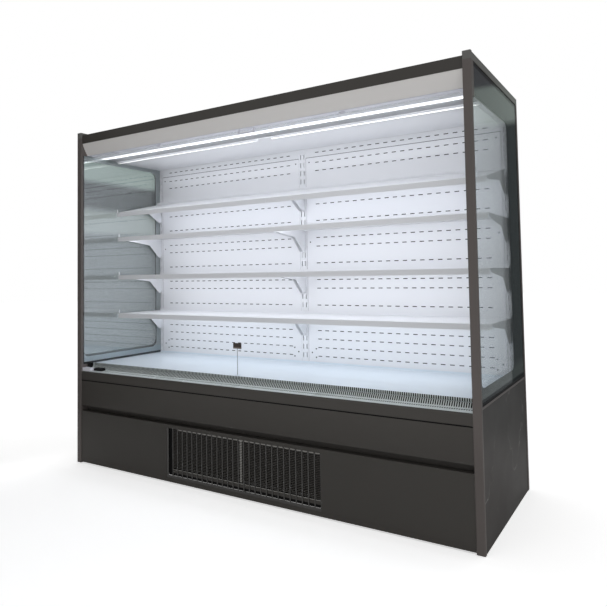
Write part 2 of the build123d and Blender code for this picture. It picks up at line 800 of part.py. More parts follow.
# ======== shelves ========
board_limits = ((-inner_half + shelf_end_gap, -bed_gap), (bed_gap, inner_half - shelf_end_gap))
for number in range(1, shelf_levels + 1):
    level = top_shelf - shelf_rise * (number - 1)
    tilt = radians(shelf_tilt if number == 1 else 0)
    pivot = (0, back_face, level - pivot_drop)
    shelf_plane = Plane(origin=pivot, x_dir=(0, cos(tilt), sin(tilt)), z_dir=(1, 0, 0))

    with BuildPart() as shelf_boards:
        for low, high in board_limits:
            with BuildSketch(shelf_plane.offset(low)):
                with BuildLine():
                    Polyline(
                        (-shelf_back_gap, pivot_drop + shelf_upstand),
                        (-shelf_back_gap - shelf_gauge, pivot_drop + shelf_upstand),
                        (-shelf_back_gap - shelf_gauge, pivot_drop),
                        (-shelf_depth, pivot_drop),
                        (-shelf_depth - rail_lean, pivot_drop - rail_drop),
                        (-shelf_depth - rail_lean + rail_hem, pivot_drop - rail_drop),
                        (-shelf_depth - rail_lean + rail_hem, pivot_drop - rail_drop + shelf_gauge),
                        (-shelf_depth - rail_lean + shelf_gauge, pivot_drop - rail_drop + shelf_gauge),
                        (-shelf_depth + shelf_gauge, pivot_drop - shelf_gauge),
                        (-shelf_back_gap, pivot_drop - shelf_gauge),
                        close=True,
                    )
                make_face()
            extrude(amount=high - low)
    save(shelf_boards, f"shelf_{number}_boards")

    with BuildPart() as shelf_brackets:
        under = pivot_drop - shelf_gauge
        for column in slot_columns:
            with BuildSketch(shelf_plane.offset(column - bracket_gauge / 2)):
                with BuildLine():
                    Polyline(
                        (-bed_gap, under),
                        (-bracket_reach, under),
                        (-bracket_reach, under - bracket_nose_drop),
                        (-bracket_fore[0], pivot_drop - bracket_fore[1]),
                        (-bracket_knee[0], pivot_drop - bracket_knee[1]),
                        (-bracket_foot[0], pivot_drop - bracket_foot[1]),
                        (-bracket_heel, pivot_drop - bracket_foot[1]),
                        (-bed_gap, 0),
                        close=True,
                    )
                make_face()
                with Locations((upper_hook_reach / 2 - bed_gap, pivot_drop - upper_hook_drop)):
                    Rectangle(upper_hook_reach, hook_height)
                Circle(nose_radius)
            extrude(amount=bracket_gauge)
    save(shelf_brackets, f"shelf_{number}_brackets")

    with BuildPart() as shelf_lights:
        for low, high in board_limits:
            run = (low + strip_light_end_gap, high - strip_light_end_gap)
            with BuildSketch(shelf_plane.offset(run[0])) as strip:
                with Locations((-strip_light_back + strip_light[0] / 2, under - strip_light[1] / 2)):
                    Rectangle(*strip_light)
                fillet(strip.vertices().group_by(Axis.Y)[0], strip_light[1] / 3)
            extrude(amount=run[1] - run[0])
    save(shelf_lights, f"shelf_{number}_lights")

# ======== fans ========


def fan(centre, radius, hub_radius):
    """Axial fan on a shaft along Y: a bored hub with flats and pitched blades with clipped tips."""
    with BuildPart() as wheel:
        with BuildSketch(Plane.XZ.offset(-centre[1])):
            with Locations((centre[0], centre[2])):
                RegularPolygon(hub_radius, hub_side_count)
        extrude(amount=fan_thickness / 2, both=True)
        for turn in range(fan_blades):
            angle = radians(360 * turn / fan_blades)
            outwards = Vector(cos(angle), 0, sin(angle))
            pitched = Vector(0, 1, 0).rotate(Axis((0, 0, 0), outwards), blade_pitch_angle)
            with BuildSketch(Plane(origin=centre, x_dir=outwards, z_dir=pitched)):
                with BuildLine():
                    Polyline((hub_radius * 0.7, hub_radius * 0.5), (hub_radius * 0.7, -hub_radius * 0.5),
                             (radius * 0.9, -radius * blade_half), (radius * 0.98, 0),
                             (radius * 0.9, radius * blade_half), close=True)
                make_face()
            extrude(amount=thin_sheet / 2, both=True)
        rod((centre[0], centre[1] + fan_thickness / 2, centre[2]), (0, -1, 0), shaft_radius + running_gap,
            shaft_reach + bed_gap, mode=Mode.SUBTRACT)
    return wheel


def motor(start):
    """Motor can with flats round its side, standing back along Y from a point on its front face."""
    with BuildSketch(Plane.XZ.offset(-start[1])) as can:
        with Locations((start[0], start[2])):
            RegularPolygon(motor_radius, motor_side_count)
    extrude(can.sketch, amount=-motor_length)


fan_y = front + fan_plate_setback
with BuildPart() as fan_plate:
    plate_z = (tank_floor_top, deck_top - sheet)
    with BuildSketch(Plane.XZ.offset(-fan_y)):
        with Locations((0, (plate_z[0] + plate_z[1]) / 2)):
            Rectangle(2 * inner_half, plate_z[1] - plate_z[0])
        with Locations([(x, fan_height) for x in fan_centres]):
            Circle(fan_radius + fan_ring_gap, mode=Mode.SUBTRACT)
    extrude(amount=-sheet)
    strut_y = fan_y + sheet
    motor_y = fan_y + fan_thickness
    for x in fan_centres:
        motor((x, motor_y, fan_height))
        rod((x, motor_y - shaft_reach, fan_height), (0, 1, 0), shaft_radius, shaft_reach)
        arm = fan_radius + fan_ring_gap + hem
        for low, high in ((-arm, -motor_radius / 2), (motor_radius / 2, arm)):
            block((x + low, x + high), (motor_y, motor_y + skin), (fan_height - hem, fan_height + hem))
        for edge in (x - arm, x + arm - skin):
            block((edge, edge + skin), (strut_y, motor_y + skin), (fan_height - hem, fan_height + hem))
save(fan_plate, "fan_plate")

for number, x in enumerate(fan_centres, 1):
    evaporator_fan = fan((x, fan_y + fan_thickness / 2 - bed_gap, fan_height), fan_radius, fan_hub)
    save(evaporator_fan, f"evaporator_fan_{number}")


def coil(half_length, y, z, z_fins):
    """Fin pack with proud end plates and a rib of standing fins along its length."""
    with BuildPart() as pack:
        block((-half_length, half_length), (y[0] + fin_proud, y[1] - fin_proud), z_fins)
        for side in sides.values():
            block(mirrored((half_length, half_length + coil_plate), side), y, z)
        fin_pitch = 2 * half_length / fin_count
        with BuildSketch(Plane.XY.offset(z_fins[0])):
            with Locations((0, (y[0] + y[1]) / 2)):
                with GridLocations(fin_pitch, 1, fin_count, 1):
                    Rectangle(coil_plate, y[1] - y[0])
        extrude(amount=z_fins[1] - z_fins[0])
    return pack


evaporator_y = (front + evaporator_setback, front + evaporator_setback + evaporator_depth)
evaporator_z = (tank_floor_top, tank_floor_top + evaporator_height)
evaporator_coil = coil(evaporator_half, evaporator_y, evaporator_z,
                       (evaporator_z[0] + hem, evaporator_z[1] - hem))
save(evaporator_coil, "evaporator_coil")

condenser_y = (front + condenser_setback, front + condenser_setback + condenser_depth)
condenser_z = (unit_floor, unit_floor + condenser_height)
condenser_coil = coil(condenser_half, condenser_y, condenser_z,
                      (condenser_z[0] + hem, condenser_z[1] - hem))
save(condenser_coil, "condenser_coil")

condenser_axis_z = (condenser_z[0] + condenser_z[1]) / 2
shroud_y = (condenser_y[1], condenser_y[1] + shroud_depth)
with BuildPart() as condenser_shroud:
    with BuildSketch(Plane.XZ.offset(-shroud_y[0])):
        with Locations((0, condenser_axis_z)):
            Rectangle(2 * condenser_half, condenser_height)
    extrude(amount=-shroud_depth)
    offset(amount=-skin, openings=condenser_shroud.faces().sort_by(Axis.Y)[0])
    opening_start = (0, shroud_y[1] - skin, condenser_axis_z)
    rod(opening_start, (0, 1, 0), condenser_fan_radius + fan_ring_gap, skin, mode=Mode.SUBTRACT)
    motor_front = shroud_y[1] + fan_thickness
    arm = condenser_fan_radius + fan_ring_gap
    for low, high in ((-arm - hem, -motor_radius / 2), (motor_radius / 2, arm + hem)):
        block((low, high), (motor_front, motor_front + skin),
              (condenser_axis_z - hem, condenser_axis_z + hem))
    for edge in (-arm - hem, arm + hem - skin):
        block((edge, edge + skin), (shroud_y[1], motor_front + skin),
              (condenser_axis_z - hem, condenser_axis_z + hem))
    motor((0, motor_front, condenser_axis_z))
    rod((0, motor_front - shaft_reach, condenser_axis_z), (0, 1, 0), shaft_radius, shaft_reach)
save(condenser_shroud, "condenser_shroud")

condenser_fan = fan((0, motor_front - fan_thickness / 2 - bed_gap, condenser_axis_z),
                    condenser_fan_radius, fan_hub)
save(condenser_fan, "condenser_fan")

# ======== condensing unit and services ========
with BuildPart() as compressor:
    centre = (compressor_at[0], front + compressor_at[1])
    plate_half = compressor_radius + hem
    plate_top = unit_floor + compressor_foot + skin
    for step_x in (-1, 1):
        for step_y in (-1, 1):
            inner, outer = plate_half - 2 * hem, plate_half
            block((centre[0] + step_x * inner, centre[0] + step_x * outer),
                  (centre[1] + step_y * inner, centre[1] + step_y * outer), (unit_floor, plate_top - skin))
    block(around(centre[0], 2 * plate_half), around(centre[1], 2 * plate_half), (plate_top - skin, plate_top))
    seam = plate_top + compressor_height / 2
    for shell_z, shell_radius in ((plate_top, compressor_radius - skin), (seam, compressor_radius)):
        with BuildSketch(Plane.XY.offset(shell_z)):
            with Locations(centre):
                RegularPolygon(shell_radius, shell_side_count)
        extrude(amount=compressor_height / 2)
    chamfer(compressor.edges().group_by(Axis.Z)[-1], compressor_dome)
save(compressor, "compressor")

with BuildPart() as condensate_tray:
    tray_x = (drain_x - tray_half, drain_x + tray_half)
    tray_back = drain_at[1] + tray_behind_drain
    tray_y = (tray_back - tray_depth, tray_back)
    block(tray_x, tray_y, (unit_floor, unit_floor + tray_height))
    fillet(condensate_tray.edges().filter_by(Axis.Z), hem)
    offset(amount=-skin, openings=condensate_tray.faces().sort_by(Axis.Z)[-1])
save(condensate_tray, "condensate_tray")

with BuildPart() as control_box:
    box_y = front + box_at[1]
    block(around(box_at[0], control_box_size[0]),
          (box_y, box_y + control_box_size[1]), (unit_floor, unit_floor + control_box_size[2]))
    chamfer(control_box.edges().filter_by(Axis.X).group_by(Axis.Z)[-1].sort_by(Axis.Y)[0], 2 * hem)
save(control_box, "control_box")

cover_y = back - rear_inset
with BuildPart() as rear_cover:
    cover_z = (frame_bottom, tank_bottom)
    with BuildSketch(Plane.XZ.offset(-cover_y)):
        with Locations((0, (cover_z[0] + cover_z[1]) / 2)):
            Rectangle(2 * (half - trim_back_leg), cover_z[1] - cover_z[0])
            with GridLocations(*vent_pitch, *vent_count):
                Rectangle(*vent_slot, mode=Mode.SUBTRACT)
        with Locations(gland_at):
            Circle(gland_radius - skin, mode=Mode.SUBTRACT)
    extrude(amount=skin)
save(rear_cover, "rear_cover")

with BuildPart() as cable_gland:
    with BuildSketch(Plane.XZ.offset(-cover_y)):
        with Locations(gland_at):
            RegularPolygon(gland_radius * 1.2, 6)
    extrude(amount=-rear_inset / 2)
    neck_start = cover_y - 3 * skin
    for y, run in ((neck_start, 3 * skin), (cover_y + rear_inset / 2, rear_inset / 2 - skin)):
        with BuildSketch(Plane.XZ.offset(-y)):
            with Locations(gland_at):
                RegularPolygon(gland_radius - skin - bed_gap, gland_side_count)
        extrude(amount=-run)
    rod((gland_at[0], neck_start, gland_at[1]), (0, 1, 0), gland_radius / 2, 2 * rear_inset,
        mode=Mode.SUBTRACT)
save(cable_gland, "cable_gland")

# ======== ticket on its stem ========
with BuildPart() as ticket_holder:
    ticket_y = front + ticket_at[1]
    stem_top = deck_top + ticket_foot[2] + ticket_stem
    block(around(ticket_at[0], ticket_foot[0]), around(ticket_y, ticket_foot[1]),
          (deck_top, deck_top + ticket_foot[2]))
    block(around(ticket_at[0], stem_width), around(ticket_y, skin), (deck_top + ticket_foot[2], stem_top))
    block(around(ticket_at[0], ticket_size[0]), around(ticket_y, ticket_size[1]),
          (stem_top, stem_top + ticket_size[2]))
save(ticket_holder, "ticket_holder")
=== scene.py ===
"""Open multideck display fridge: finishes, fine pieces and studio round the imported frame.

Metres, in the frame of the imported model: X along the front, +Y to the back, +Z up.
Sizes that belong to one sub-assembly are fields of its class, in millimetres where a name ends in _mm.
"""

import json
import logging
import math
from dataclasses import dataclass
from enum import Enum
from typing import Callable, Sequence

import bmesh
import bpy
import numpy as np
from mathutils import Euler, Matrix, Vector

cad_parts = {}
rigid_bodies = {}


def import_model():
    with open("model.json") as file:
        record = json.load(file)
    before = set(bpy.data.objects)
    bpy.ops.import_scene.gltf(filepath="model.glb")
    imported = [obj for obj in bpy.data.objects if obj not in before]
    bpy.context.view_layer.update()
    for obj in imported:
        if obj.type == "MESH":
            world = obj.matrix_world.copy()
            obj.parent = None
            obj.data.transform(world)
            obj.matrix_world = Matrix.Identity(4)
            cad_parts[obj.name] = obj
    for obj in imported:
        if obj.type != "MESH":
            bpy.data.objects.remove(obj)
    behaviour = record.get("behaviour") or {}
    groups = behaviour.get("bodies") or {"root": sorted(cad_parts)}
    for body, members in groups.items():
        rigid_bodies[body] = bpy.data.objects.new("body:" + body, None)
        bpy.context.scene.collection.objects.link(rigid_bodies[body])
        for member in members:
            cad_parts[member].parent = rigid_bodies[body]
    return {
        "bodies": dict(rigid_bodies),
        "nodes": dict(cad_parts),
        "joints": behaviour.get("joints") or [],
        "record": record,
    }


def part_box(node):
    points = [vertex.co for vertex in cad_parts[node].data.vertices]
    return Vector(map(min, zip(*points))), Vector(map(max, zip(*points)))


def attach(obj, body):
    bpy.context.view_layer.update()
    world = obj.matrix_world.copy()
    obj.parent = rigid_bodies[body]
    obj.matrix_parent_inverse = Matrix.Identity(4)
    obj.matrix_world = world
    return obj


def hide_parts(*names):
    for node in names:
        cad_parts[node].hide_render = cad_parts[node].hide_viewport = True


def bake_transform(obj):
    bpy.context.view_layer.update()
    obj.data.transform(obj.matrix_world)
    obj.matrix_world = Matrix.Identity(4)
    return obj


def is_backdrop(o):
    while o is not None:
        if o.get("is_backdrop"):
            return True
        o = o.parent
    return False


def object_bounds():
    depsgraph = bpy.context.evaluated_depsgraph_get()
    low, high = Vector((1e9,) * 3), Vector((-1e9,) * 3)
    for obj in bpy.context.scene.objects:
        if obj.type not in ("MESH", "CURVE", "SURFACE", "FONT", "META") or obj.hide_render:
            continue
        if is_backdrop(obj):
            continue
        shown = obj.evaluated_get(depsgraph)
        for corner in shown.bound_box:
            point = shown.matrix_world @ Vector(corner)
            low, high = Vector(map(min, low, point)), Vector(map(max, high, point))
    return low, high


log = logging.getLogger("display_fridge")

Colour = tuple[float, float, float]
Bands = Sequence[tuple[float, float, Colour]]
Limits = Sequence[float | np.ndarray]
Mesh = tuple[np.ndarray, np.ndarray]
Paint = Colour | bpy.types.NodeSocket
MM = 0.001
WELD = 1e-6
ONE_FACE = np.array([[0, 1, 2, 3]])
SMOOTH_UP_TO = math.radians(35)


class Side(Enum):
    """The two ends of the cabinet, by the sign of X."""

    LEFT = -1
    RIGHT = 1

    @property
    def label(self) -> str:
        """The side's name as the nodes have it."""
        return self.name.lower()

    def span(self, near: float, far: float) -> tuple[float, ...]:
        """Limits along X, the lower first, between two distances from the middle."""
        return tuple(sorted((self.value * near, self.value * far)))


class Pane(Enum):
    """The two panes of a glazed end."""

    OUTER = "outer"
    INNER = "inner"


class Ray(Enum):
    """Kinds of ray that may meet a studio piece, each by the switch that lets it."""

    CAMERA = "visible_camera"
    DIFFUSE = "visible_diffuse"
    GLOSSY = "visible_glossy"
    TRANSMISSION = "visible_transmission"
    SHADOW = "visible_shadow"


# ---------------------------------------------------------------- places


def mm(sizes: float | Sequence) -> np.ndarray:
    """Millimetres as the frame's metres."""
    return np.asarray(sizes, float) * MM


def spans(node: str) -> np.ndarray:
    """Lowest and highest place of a CAD node at rest, a row for each axis."""
    return np.array(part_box(node)).T


def inside(limits: np.ndarray, inset_mm: float) -> np.ndarray:
    """Limits drawn in by the same size at both ends."""
    return limits + mm((inset_mm, -inset_mm))


def evenly(count: int, pitch: float, middle: float = 0.0) -> np.ndarray:
    """That many places a pitch apart, about a middle."""
    return middle + (np.arange(count) - (count - 1) / 2) * pitch


# ---------------------------------------------------------------- surfaces


def joined(parts: Sequence[Mesh]) -> Mesh:
    """Put several meshes of four-cornered faces into one.

    Args:
        parts: points and faces of each mesh.

    Returns:
        All points, and all faces with their numbers moved on.
    """
    counts = np.cumsum([0] + [len(points) for points, _ in parts[:-1]])
    points = np.concatenate([points for points, _ in parts])
    faces = np.concatenate([faces + start for (_, faces), start in zip(parts, counts)])
    return points, faces


def grid_faces(rows: int, columns: int, close_rows: bool = False, close_columns: bool = False) -> np.ndarray:
    """Faces of a grid of points, point (i, j) being number i * columns + j.

    Args:
        rows: points along the first parameter.
        columns: points along the second parameter.
        close_rows: whether the last row joins the first.
        close_columns: whether the last column joins the first.

    Returns:
        An (n, 4) array of point numbers.
    """
    i, j = np.meshgrid(np.arange(rows if close_rows else rows - 1),
                       np.arange(columns if close_columns else columns - 1), indexing="ij")
    i, j = i.ravel(), j.ravel()
    down, right = (i + 1) % rows, (j + 1) % columns
    return np.stack([i * columns + j, down * columns + j, down * columns + right, i * columns + right], 1)


def blocks(x: Limits, y: Limits, z: Limits) -> Mesh:
    """One or many square-edged blocks: corner k of each takes, on every axis, the low or the high limit.

    Args:
        x: lowest and highest place along the front, each a number or one number per block.
        y: the same in depth.
        z: the same in height.

    Returns:
        The points and faces of all the blocks.
    """
    limits = np.broadcast_arrays(*(np.atleast_1d(limit) for axis in (x, y, z) for limit in axis))
    low, high = np.stack(limits[::2], 1), np.stack(limits[1::2], 1)
    pick = np.array([[k & 1, k >> 1 & 1, k >> 2 & 1] for k in range(8)], bool)
    points = np.where(pick[None], high[:, None], low[:, None])
    sides = np.array([[0, 2, 3, 1], [4, 5, 7, 6], [0, 1, 5, 4], [2, 6, 7, 3], [0, 4, 6, 2], [1, 3, 7, 5]])
    faces = sides[None] + 8 * np.arange(len(low))[:, None, None]
    return points.reshape(-1, 3), faces.reshape(-1, 4)


def block_at(corner: Sequence[float], size_mm: Sequence[float]) -> Mesh:
    """One block, from its lowest corner and its size on each axis."""
    return blocks(*((start, start + size) for start, size in zip(corner, mm(size_mm))))


def cell_sheet(u: np.ndarray, v: np.ndarray, holes: np.ndarray, gauge: float,
               place: Callable[[np.ndarray, np.ndarray, np.ndarray], np.ndarray]) -> Mesh:
    """A pierced sheet on a ruled grid: each cell between two lines of u and two of v is metal or a hole.

    A metal cell has a face on each side of the sheet, and a wall stands wherever metal meets a hole or
    the outside.

    Args:
        u: sorted lines along the first direction.
        v: sorted lines along the second direction.
        holes: (len(u) - 1, len(v) - 1) array, true where there is a hole.
        gauge: thickness of the sheet.
        place: puts sheet coordinates (u, v, depth) into the frame.

    Returns:
        The points and faces of the sheet.
    """
    gu, gv = np.meshgrid(u, v, indexing="ij")
    points = np.concatenate([place(gu.ravel(), gv.ravel(), np.full(gu.size, w)) for w in (0.0, gauge)])
    rows, total = len(v), gu.size
    i, j = np.nonzero(~holes)
    front = np.stack([i * rows + j, (i + 1) * rows + j, (i + 1) * rows + j + 1, i * rows + j + 1], 1)
    metal = np.pad(~holes, 1)
    faces = [front, front[:, ::-1] + total]
    for step, change in ((1, metal[1:, 1:-1] != metal[:-1, 1:-1]),
                         (rows, metal[1:-1, 1:] != metal[1:-1, :-1])):
        i, j = np.nonzero(change)
        start = i * rows + j
        faces.append(np.stack([start, start + step, start + step + total, start + total], 1))
    return points, np.concatenate(faces)


def upright_sheet(x: np.ndarray, z: np.ndarray, holes: np.ndarray, front: float, gauge: float) -> Mesh:
    """A pierced sheet that stands along the front, from one depth backwards."""
    return cell_sheet(x, z, holes, gauge, lambda u, v, w: np.stack([u, front + w, v], 1))


def slot_lines(centres: Sequence[float], length: float,
               ends: Sequence[float]) -> tuple[np.ndarray, np.ndarray]:
    """Lines and holes of a row of slots along one direction.

    Args:
        centres: middles of the slots, in rising order.
        length: length of each slot along this direction.
        ends: limits of the sheet.

    Returns:
        The sorted lines, and for each cell between them whether it lies in a slot.
    """
    centres = np.asarray(centres, float)
    edges = np.stack([centres - length / 2, centres + length / 2], 1).ravel()
    lines = np.concatenate([[ends[0]], edges, [ends[1]]])
    return lines, np.arange(len(lines) - 1) % 2 == 1


def turned(profile: np.ndarray, centre: Sequence[float], axis: Sequence[float], sides: int) -> Mesh:
    """A profile of (radius, height) points turned round an axis: radius times cosine and sine, plus height.

    Args:
        profile: (n, 2) points from one end of the axis to the other, with radius 0 at a closed end.
        centre: point on the axis at height 0.
        axis: direction of the height, of length 1 and square to X.
        sides: steps round the axis.

    Returns:
        The points and faces of the turned surface.
    """
    across = np.cross(axis, (1.0, 0.0, 0.0))
    third = np.cross(axis, across)
    angle = np.linspace(0, 2 * np.pi, sides, endpoint=False)
    ring = np.cos(angle)[:, None] * across + np.sin(angle)[:, None] * third
    radius, height = (column[:, None, None] for column in np.transpose(profile))
    points = np.array(centre) + radius * ring + height * np.array(axis)
    return points.reshape(-1, 3), grid_faces(len(profile), sides, close_columns=True)


def rounded_window(y: Sequence[float], z: Sequence[float], radius: float, steps: int = 8) -> np.ndarray:
    """A rectangle with round corners: four quarter circles, each about its own corner's centre.

    Args:
        y: limits in depth.
        z: limits in height.
        radius: radius of the corners.
        steps: points on each quarter circle.

    Returns:
        A (4 * steps, 2) closed outline.
    """
    centres = np.array([(y[1] - radius, z[1] - radius), (y[0] + radius, z[1] - radius),
                        (y[0] + radius, z[0] + radius), (y[1] - radius, z[0] + radius)])
    angle = (np.linspace(0, np.pi / 2, steps) + np.arange(4)[:, None] * np.pi / 2).ravel()
    return np.repeat(centres, steps, axis=0) + radius * np.stack([np.cos(angle), np.sin(angle)], 1)


def add_piece(name: str, mesh: Mesh, finish: bpy.types.Material, body: str | None = "root",
              slot: str | None = None, replaces: Sequence[str] = (),
              smooth: bool = False) -> bpy.types.Object:
    """Make an object of a mesh, close its seams, turn its faces outwards, and tie it to its CAD body.

    Args:
        name: the piece's name.
        mesh: its points and faces.
        finish: its material.
        body: the CAD body that it moves with, or None for one tied to no body.
        slot: the record's material slot, if the finish stands for one; not used.
        replaces: CAD nodes that it is shown in place of.
        smooth: whether its faces are shaded smooth, except over sharp edges.

    Returns:
        The new object.
    """
    data = bpy.data.meshes.new(name)
    data.from_pydata(mesh[0].tolist(), [], mesh[1].tolist())
    work = bmesh.new()
    work.from_mesh(data)
    bmesh.ops.remove_doubles(work, verts=work.verts, dist=WELD)
    holes = [edge for edge in work.edges if edge.is_boundary]
    if holes:
        bmesh.ops.holes_fill(work, edges=holes, sides=0)
    bmesh.ops.recalc_face_normals(work, faces=work.faces)
    work.to_mesh(data)
    work.free()
    data.materials.append(finish)
    if smooth:
        data.shade_smooth()
        data.set_sharp_from_angle(angle=SMOOTH_UP_TO)
    piece = bpy.data.objects.new(name, data)
    bpy.context.scene.collection.objects.link(piece)
    if body is not None:
        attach(piece, body)
    if replaces:
        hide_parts(*replaces)
    log.info("%s: %d faces on %s", name, len(data.polygons), body)
    return piece


# ---------------------------------------------------------------- shader nodes


def set_inputs(node: bpy.types.Node, values: dict[str, float | tuple[float, ...]]) -> bpy.types.Node:
    """Give a node's inputs their values, and return the node.

    Args:
        node: the node.
        values: the value of each input named.

    Returns:
        The same node.
    """
    for label, value in values.items():
        node.inputs[label].default_value = value
    return node


def wire(tree: bpy.types.NodeTree, *links: tuple[bpy.types.Node, str, bpy.types.Node, str | int]) -> None:
    """Link nodes, each link being a node and its output, then a node and its input."""
    for source, output, target, entry in links:
        tree.links.new(source.outputs[output], target.inputs[entry])


def new_group(name: str, inputs: dict[str, float],
              outputs: Sequence[str]) -> tuple[bpy.types.NodeTree, bpy.types.Node, bpy.types.Node]:
    """Start a shader node group with a vector input and the numbers given.

    Args:
        name: name of the group.
        inputs: number sockets with their usual values.
        outputs: names of its outputs, each a number.

    Returns:
        The group, its input node and its output node.
    """
    tree = bpy.data.node_groups.new(name, "ShaderNodeTree")
    new_socket = tree.interface.new_socket
    new_socket(name="Vector", in_out="INPUT", socket_type="NodeSocketVector")
    for label, value in inputs.items():
        new_socket(name=label, in_out="INPUT", socket_type="NodeSocketFloat").default_value = value
    for label in outputs:
        new_socket(name=label, in_out="OUTPUT", socket_type="NodeSocketFloat")
    return tree, tree.nodes.new("NodeGroupInput"), tree.nodes.new("NodeGroupOutput")


def powder_grain_group() -> bpy.types.NodeTree:
    """Fine orange peel of a powder coat, with broad uneven gloss from handling.

    Returns:
        A group with Roughness and Height outputs.
    """
    tree, start, end = new_group("powder_grain", {"Grain Scale": 900.0, "Low": 0.35, "High": 0.45},
                                 ("Roughness", "Height"))
    peel = set_inputs(tree.nodes.new("ShaderNodeTexNoise"), {"Detail": 2.0})
    broad = set_inputs(tree.nodes.new("ShaderNodeTexNoise"), {"Scale": 2.2, "Detail": 3.0})
    spread = set_inputs(tree.nodes.new("ShaderNodeMapRange"), {"From Min": 0.3, "From Max": 0.7})
    wire(tree, (start, "Vector", peel, "Vector"), (start, "Grain Scale", peel, "Scale"),
         (start, "Vector", broad, "Vector"), (broad, "Fac", spread, "Value"),
         (start, "Low", spread, "To Min"), (start, "High", spread, "To Max"),
         (spread, "Result", end, "Roughness"), (peel, "Fac", end, "Height"))
    return tree


def height_band_group() -> bpy.types.NodeTree:
    """A mask that rises from 0 to 1 between two heights above the floor.

    Returns:
        A group with a Mask output.
    """
    tree, start, end = new_group("height_band", {"From": 0.0, "To": 1.0}, ("Mask",))
    split = tree.nodes.new("ShaderNodeSeparateXYZ")
    ramp = tree.nodes.new("ShaderNodeMapRange")
    wire(tree, (start, "Vector", split, "Vector"), (split, "Z", ramp, "Value"),
         (start, "From", ramp, "From Min"), (start, "To", ramp, "From Max"), (ramp, "Result", end, "Mask"))
    return tree


def stone_veins_group() -> bpy.types.NodeTree:
    """Thin pale veins of a stone-pattern laminate, worn away in places.

    The veins are the edges of cells that noise bends, and they show where a second noise is high.

    Returns:
        A group with Veins and Clouds outputs.
    """
    tree, start, end = new_group("stone_veins", {"Scale": 2.6, "Bend": 0.5}, ("Veins", "Clouds"))
    bend = set_inputs(tree.nodes.new("ShaderNodeTexNoise"), {"Scale": 3.5, "Detail": 5.0})
    push = tree.nodes.new("ShaderNodeVectorMath")
    push.operation = "SCALE"
    moved = tree.nodes.new("ShaderNodeVectorMath")
    cells = tree.nodes.new("ShaderNodeTexVoronoi")
    cells.feature = "DISTANCE_TO_EDGE"
    thin = set_inputs(tree.nodes.new("ShaderNodeMapRange"), {"From Max": 0.018, "To Min": 1.0, "To Max": 0.0})
    patches = set_inputs(tree.nodes.new("ShaderNodeTexNoise"), {"Scale": 4.0, "Detail": 4.0})
    fade = set_inputs(tree.nodes.new("ShaderNodeMapRange"), {"From Min": 0.5, "From Max": 0.68})
    both = tree.nodes.new("ShaderNodeMath")
    both.operation = "MULTIPLY"
    wire(tree, (start, "Vector", bend, "Vector"), (start, "Vector", patches, "Vector"),
         (bend, "Color", push, "Vector"), (start, "Bend", push, "Scale"),
         (start, "Vector", moved, 0), (push, "Vector", moved, 1),
         (moved, "Vector", cells, "Vector"), (start, "Scale", cells, "Scale"),
         (cells, "Distance", thin, "Value"), (patches, "Fac", fade, "Value"),
         (thin, "Result", both, 0), (fade, "Result", both, 1),
         (both, "Value", end, "Veins"), (patches, "Fac", end, "Clouds"))
    return tree


def place_group(tree: bpy.types.NodeTree, build: Callable[[], bpy.types.NodeTree],
                values: dict[str, float]) -> bpy.types.Node:
    """Put the one copy of a shader group into a material, on Object coordinates.

    Args:
        tree: the material's nodes.
        build: the group's builder, named after the group with _group added, run when it is first asked for.
        values: numbers for its inputs.

    Returns:
        The group node.
    """
    node = tree.nodes.new("ShaderNodeGroup")
    node.node_tree = bpy.data.node_groups.get(build.__name__.removesuffix("_group")) or build()
    wire(tree, (tree.nodes.new("ShaderNodeTexCoord"), "Object", node, "Vector"))
    return set_inputs(node, values)


def mixed(tree: bpy.types.NodeTree, mask: bpy.types.NodeSocket, first: Paint,
          second: Colour) -> bpy.types.NodeSocket:
    """Blend a colour into another by a mask.

    Args:
        tree: the material's nodes.
        mask: 0 for the first colour, 1 for the second.
        first: a colour or the socket that gives one.
        second: the other colour.

    Returns:
        The blended colour's socket.
    """
    node = tree.nodes.new("ShaderNodeMix")
    node.data_type = "RGBA"
    # The sockets of a Mix node share their names, so the colour ones go by number.
    entry_a, entry_b, result = node.inputs[6], node.inputs[7], node.outputs[2]
    tree.links.new(mask, node.inputs["Factor"])
    if isinstance(first, tuple):
        entry_a.default_value = (*first, 1.0)
    else:
        tree.links.new(first, entry_a)
    entry_b.default_value = (*second, 1.0)
    return result


def banded(tree: bpy.types.NodeTree, colour: Colour, bands: Bands) -> Paint:
    """A colour that changes with the height above the floor.

    Args:
        tree: the material's nodes.
        colour: the colour at the bottom.
        bands: heights where each change starts and ends, and the colour above it.

    Returns:
        The last colour's socket, or the colour itself where there are no bands.
    """
    blended: Paint = colour
    for start, stop, tint in bands:
        band = place_group(tree, height_band_group, {"From": start, "To": stop})
        blended = mixed(tree, band.outputs["Mask"], blended, tint)
    return blended


# ---------------------------------------------------------------- finishes


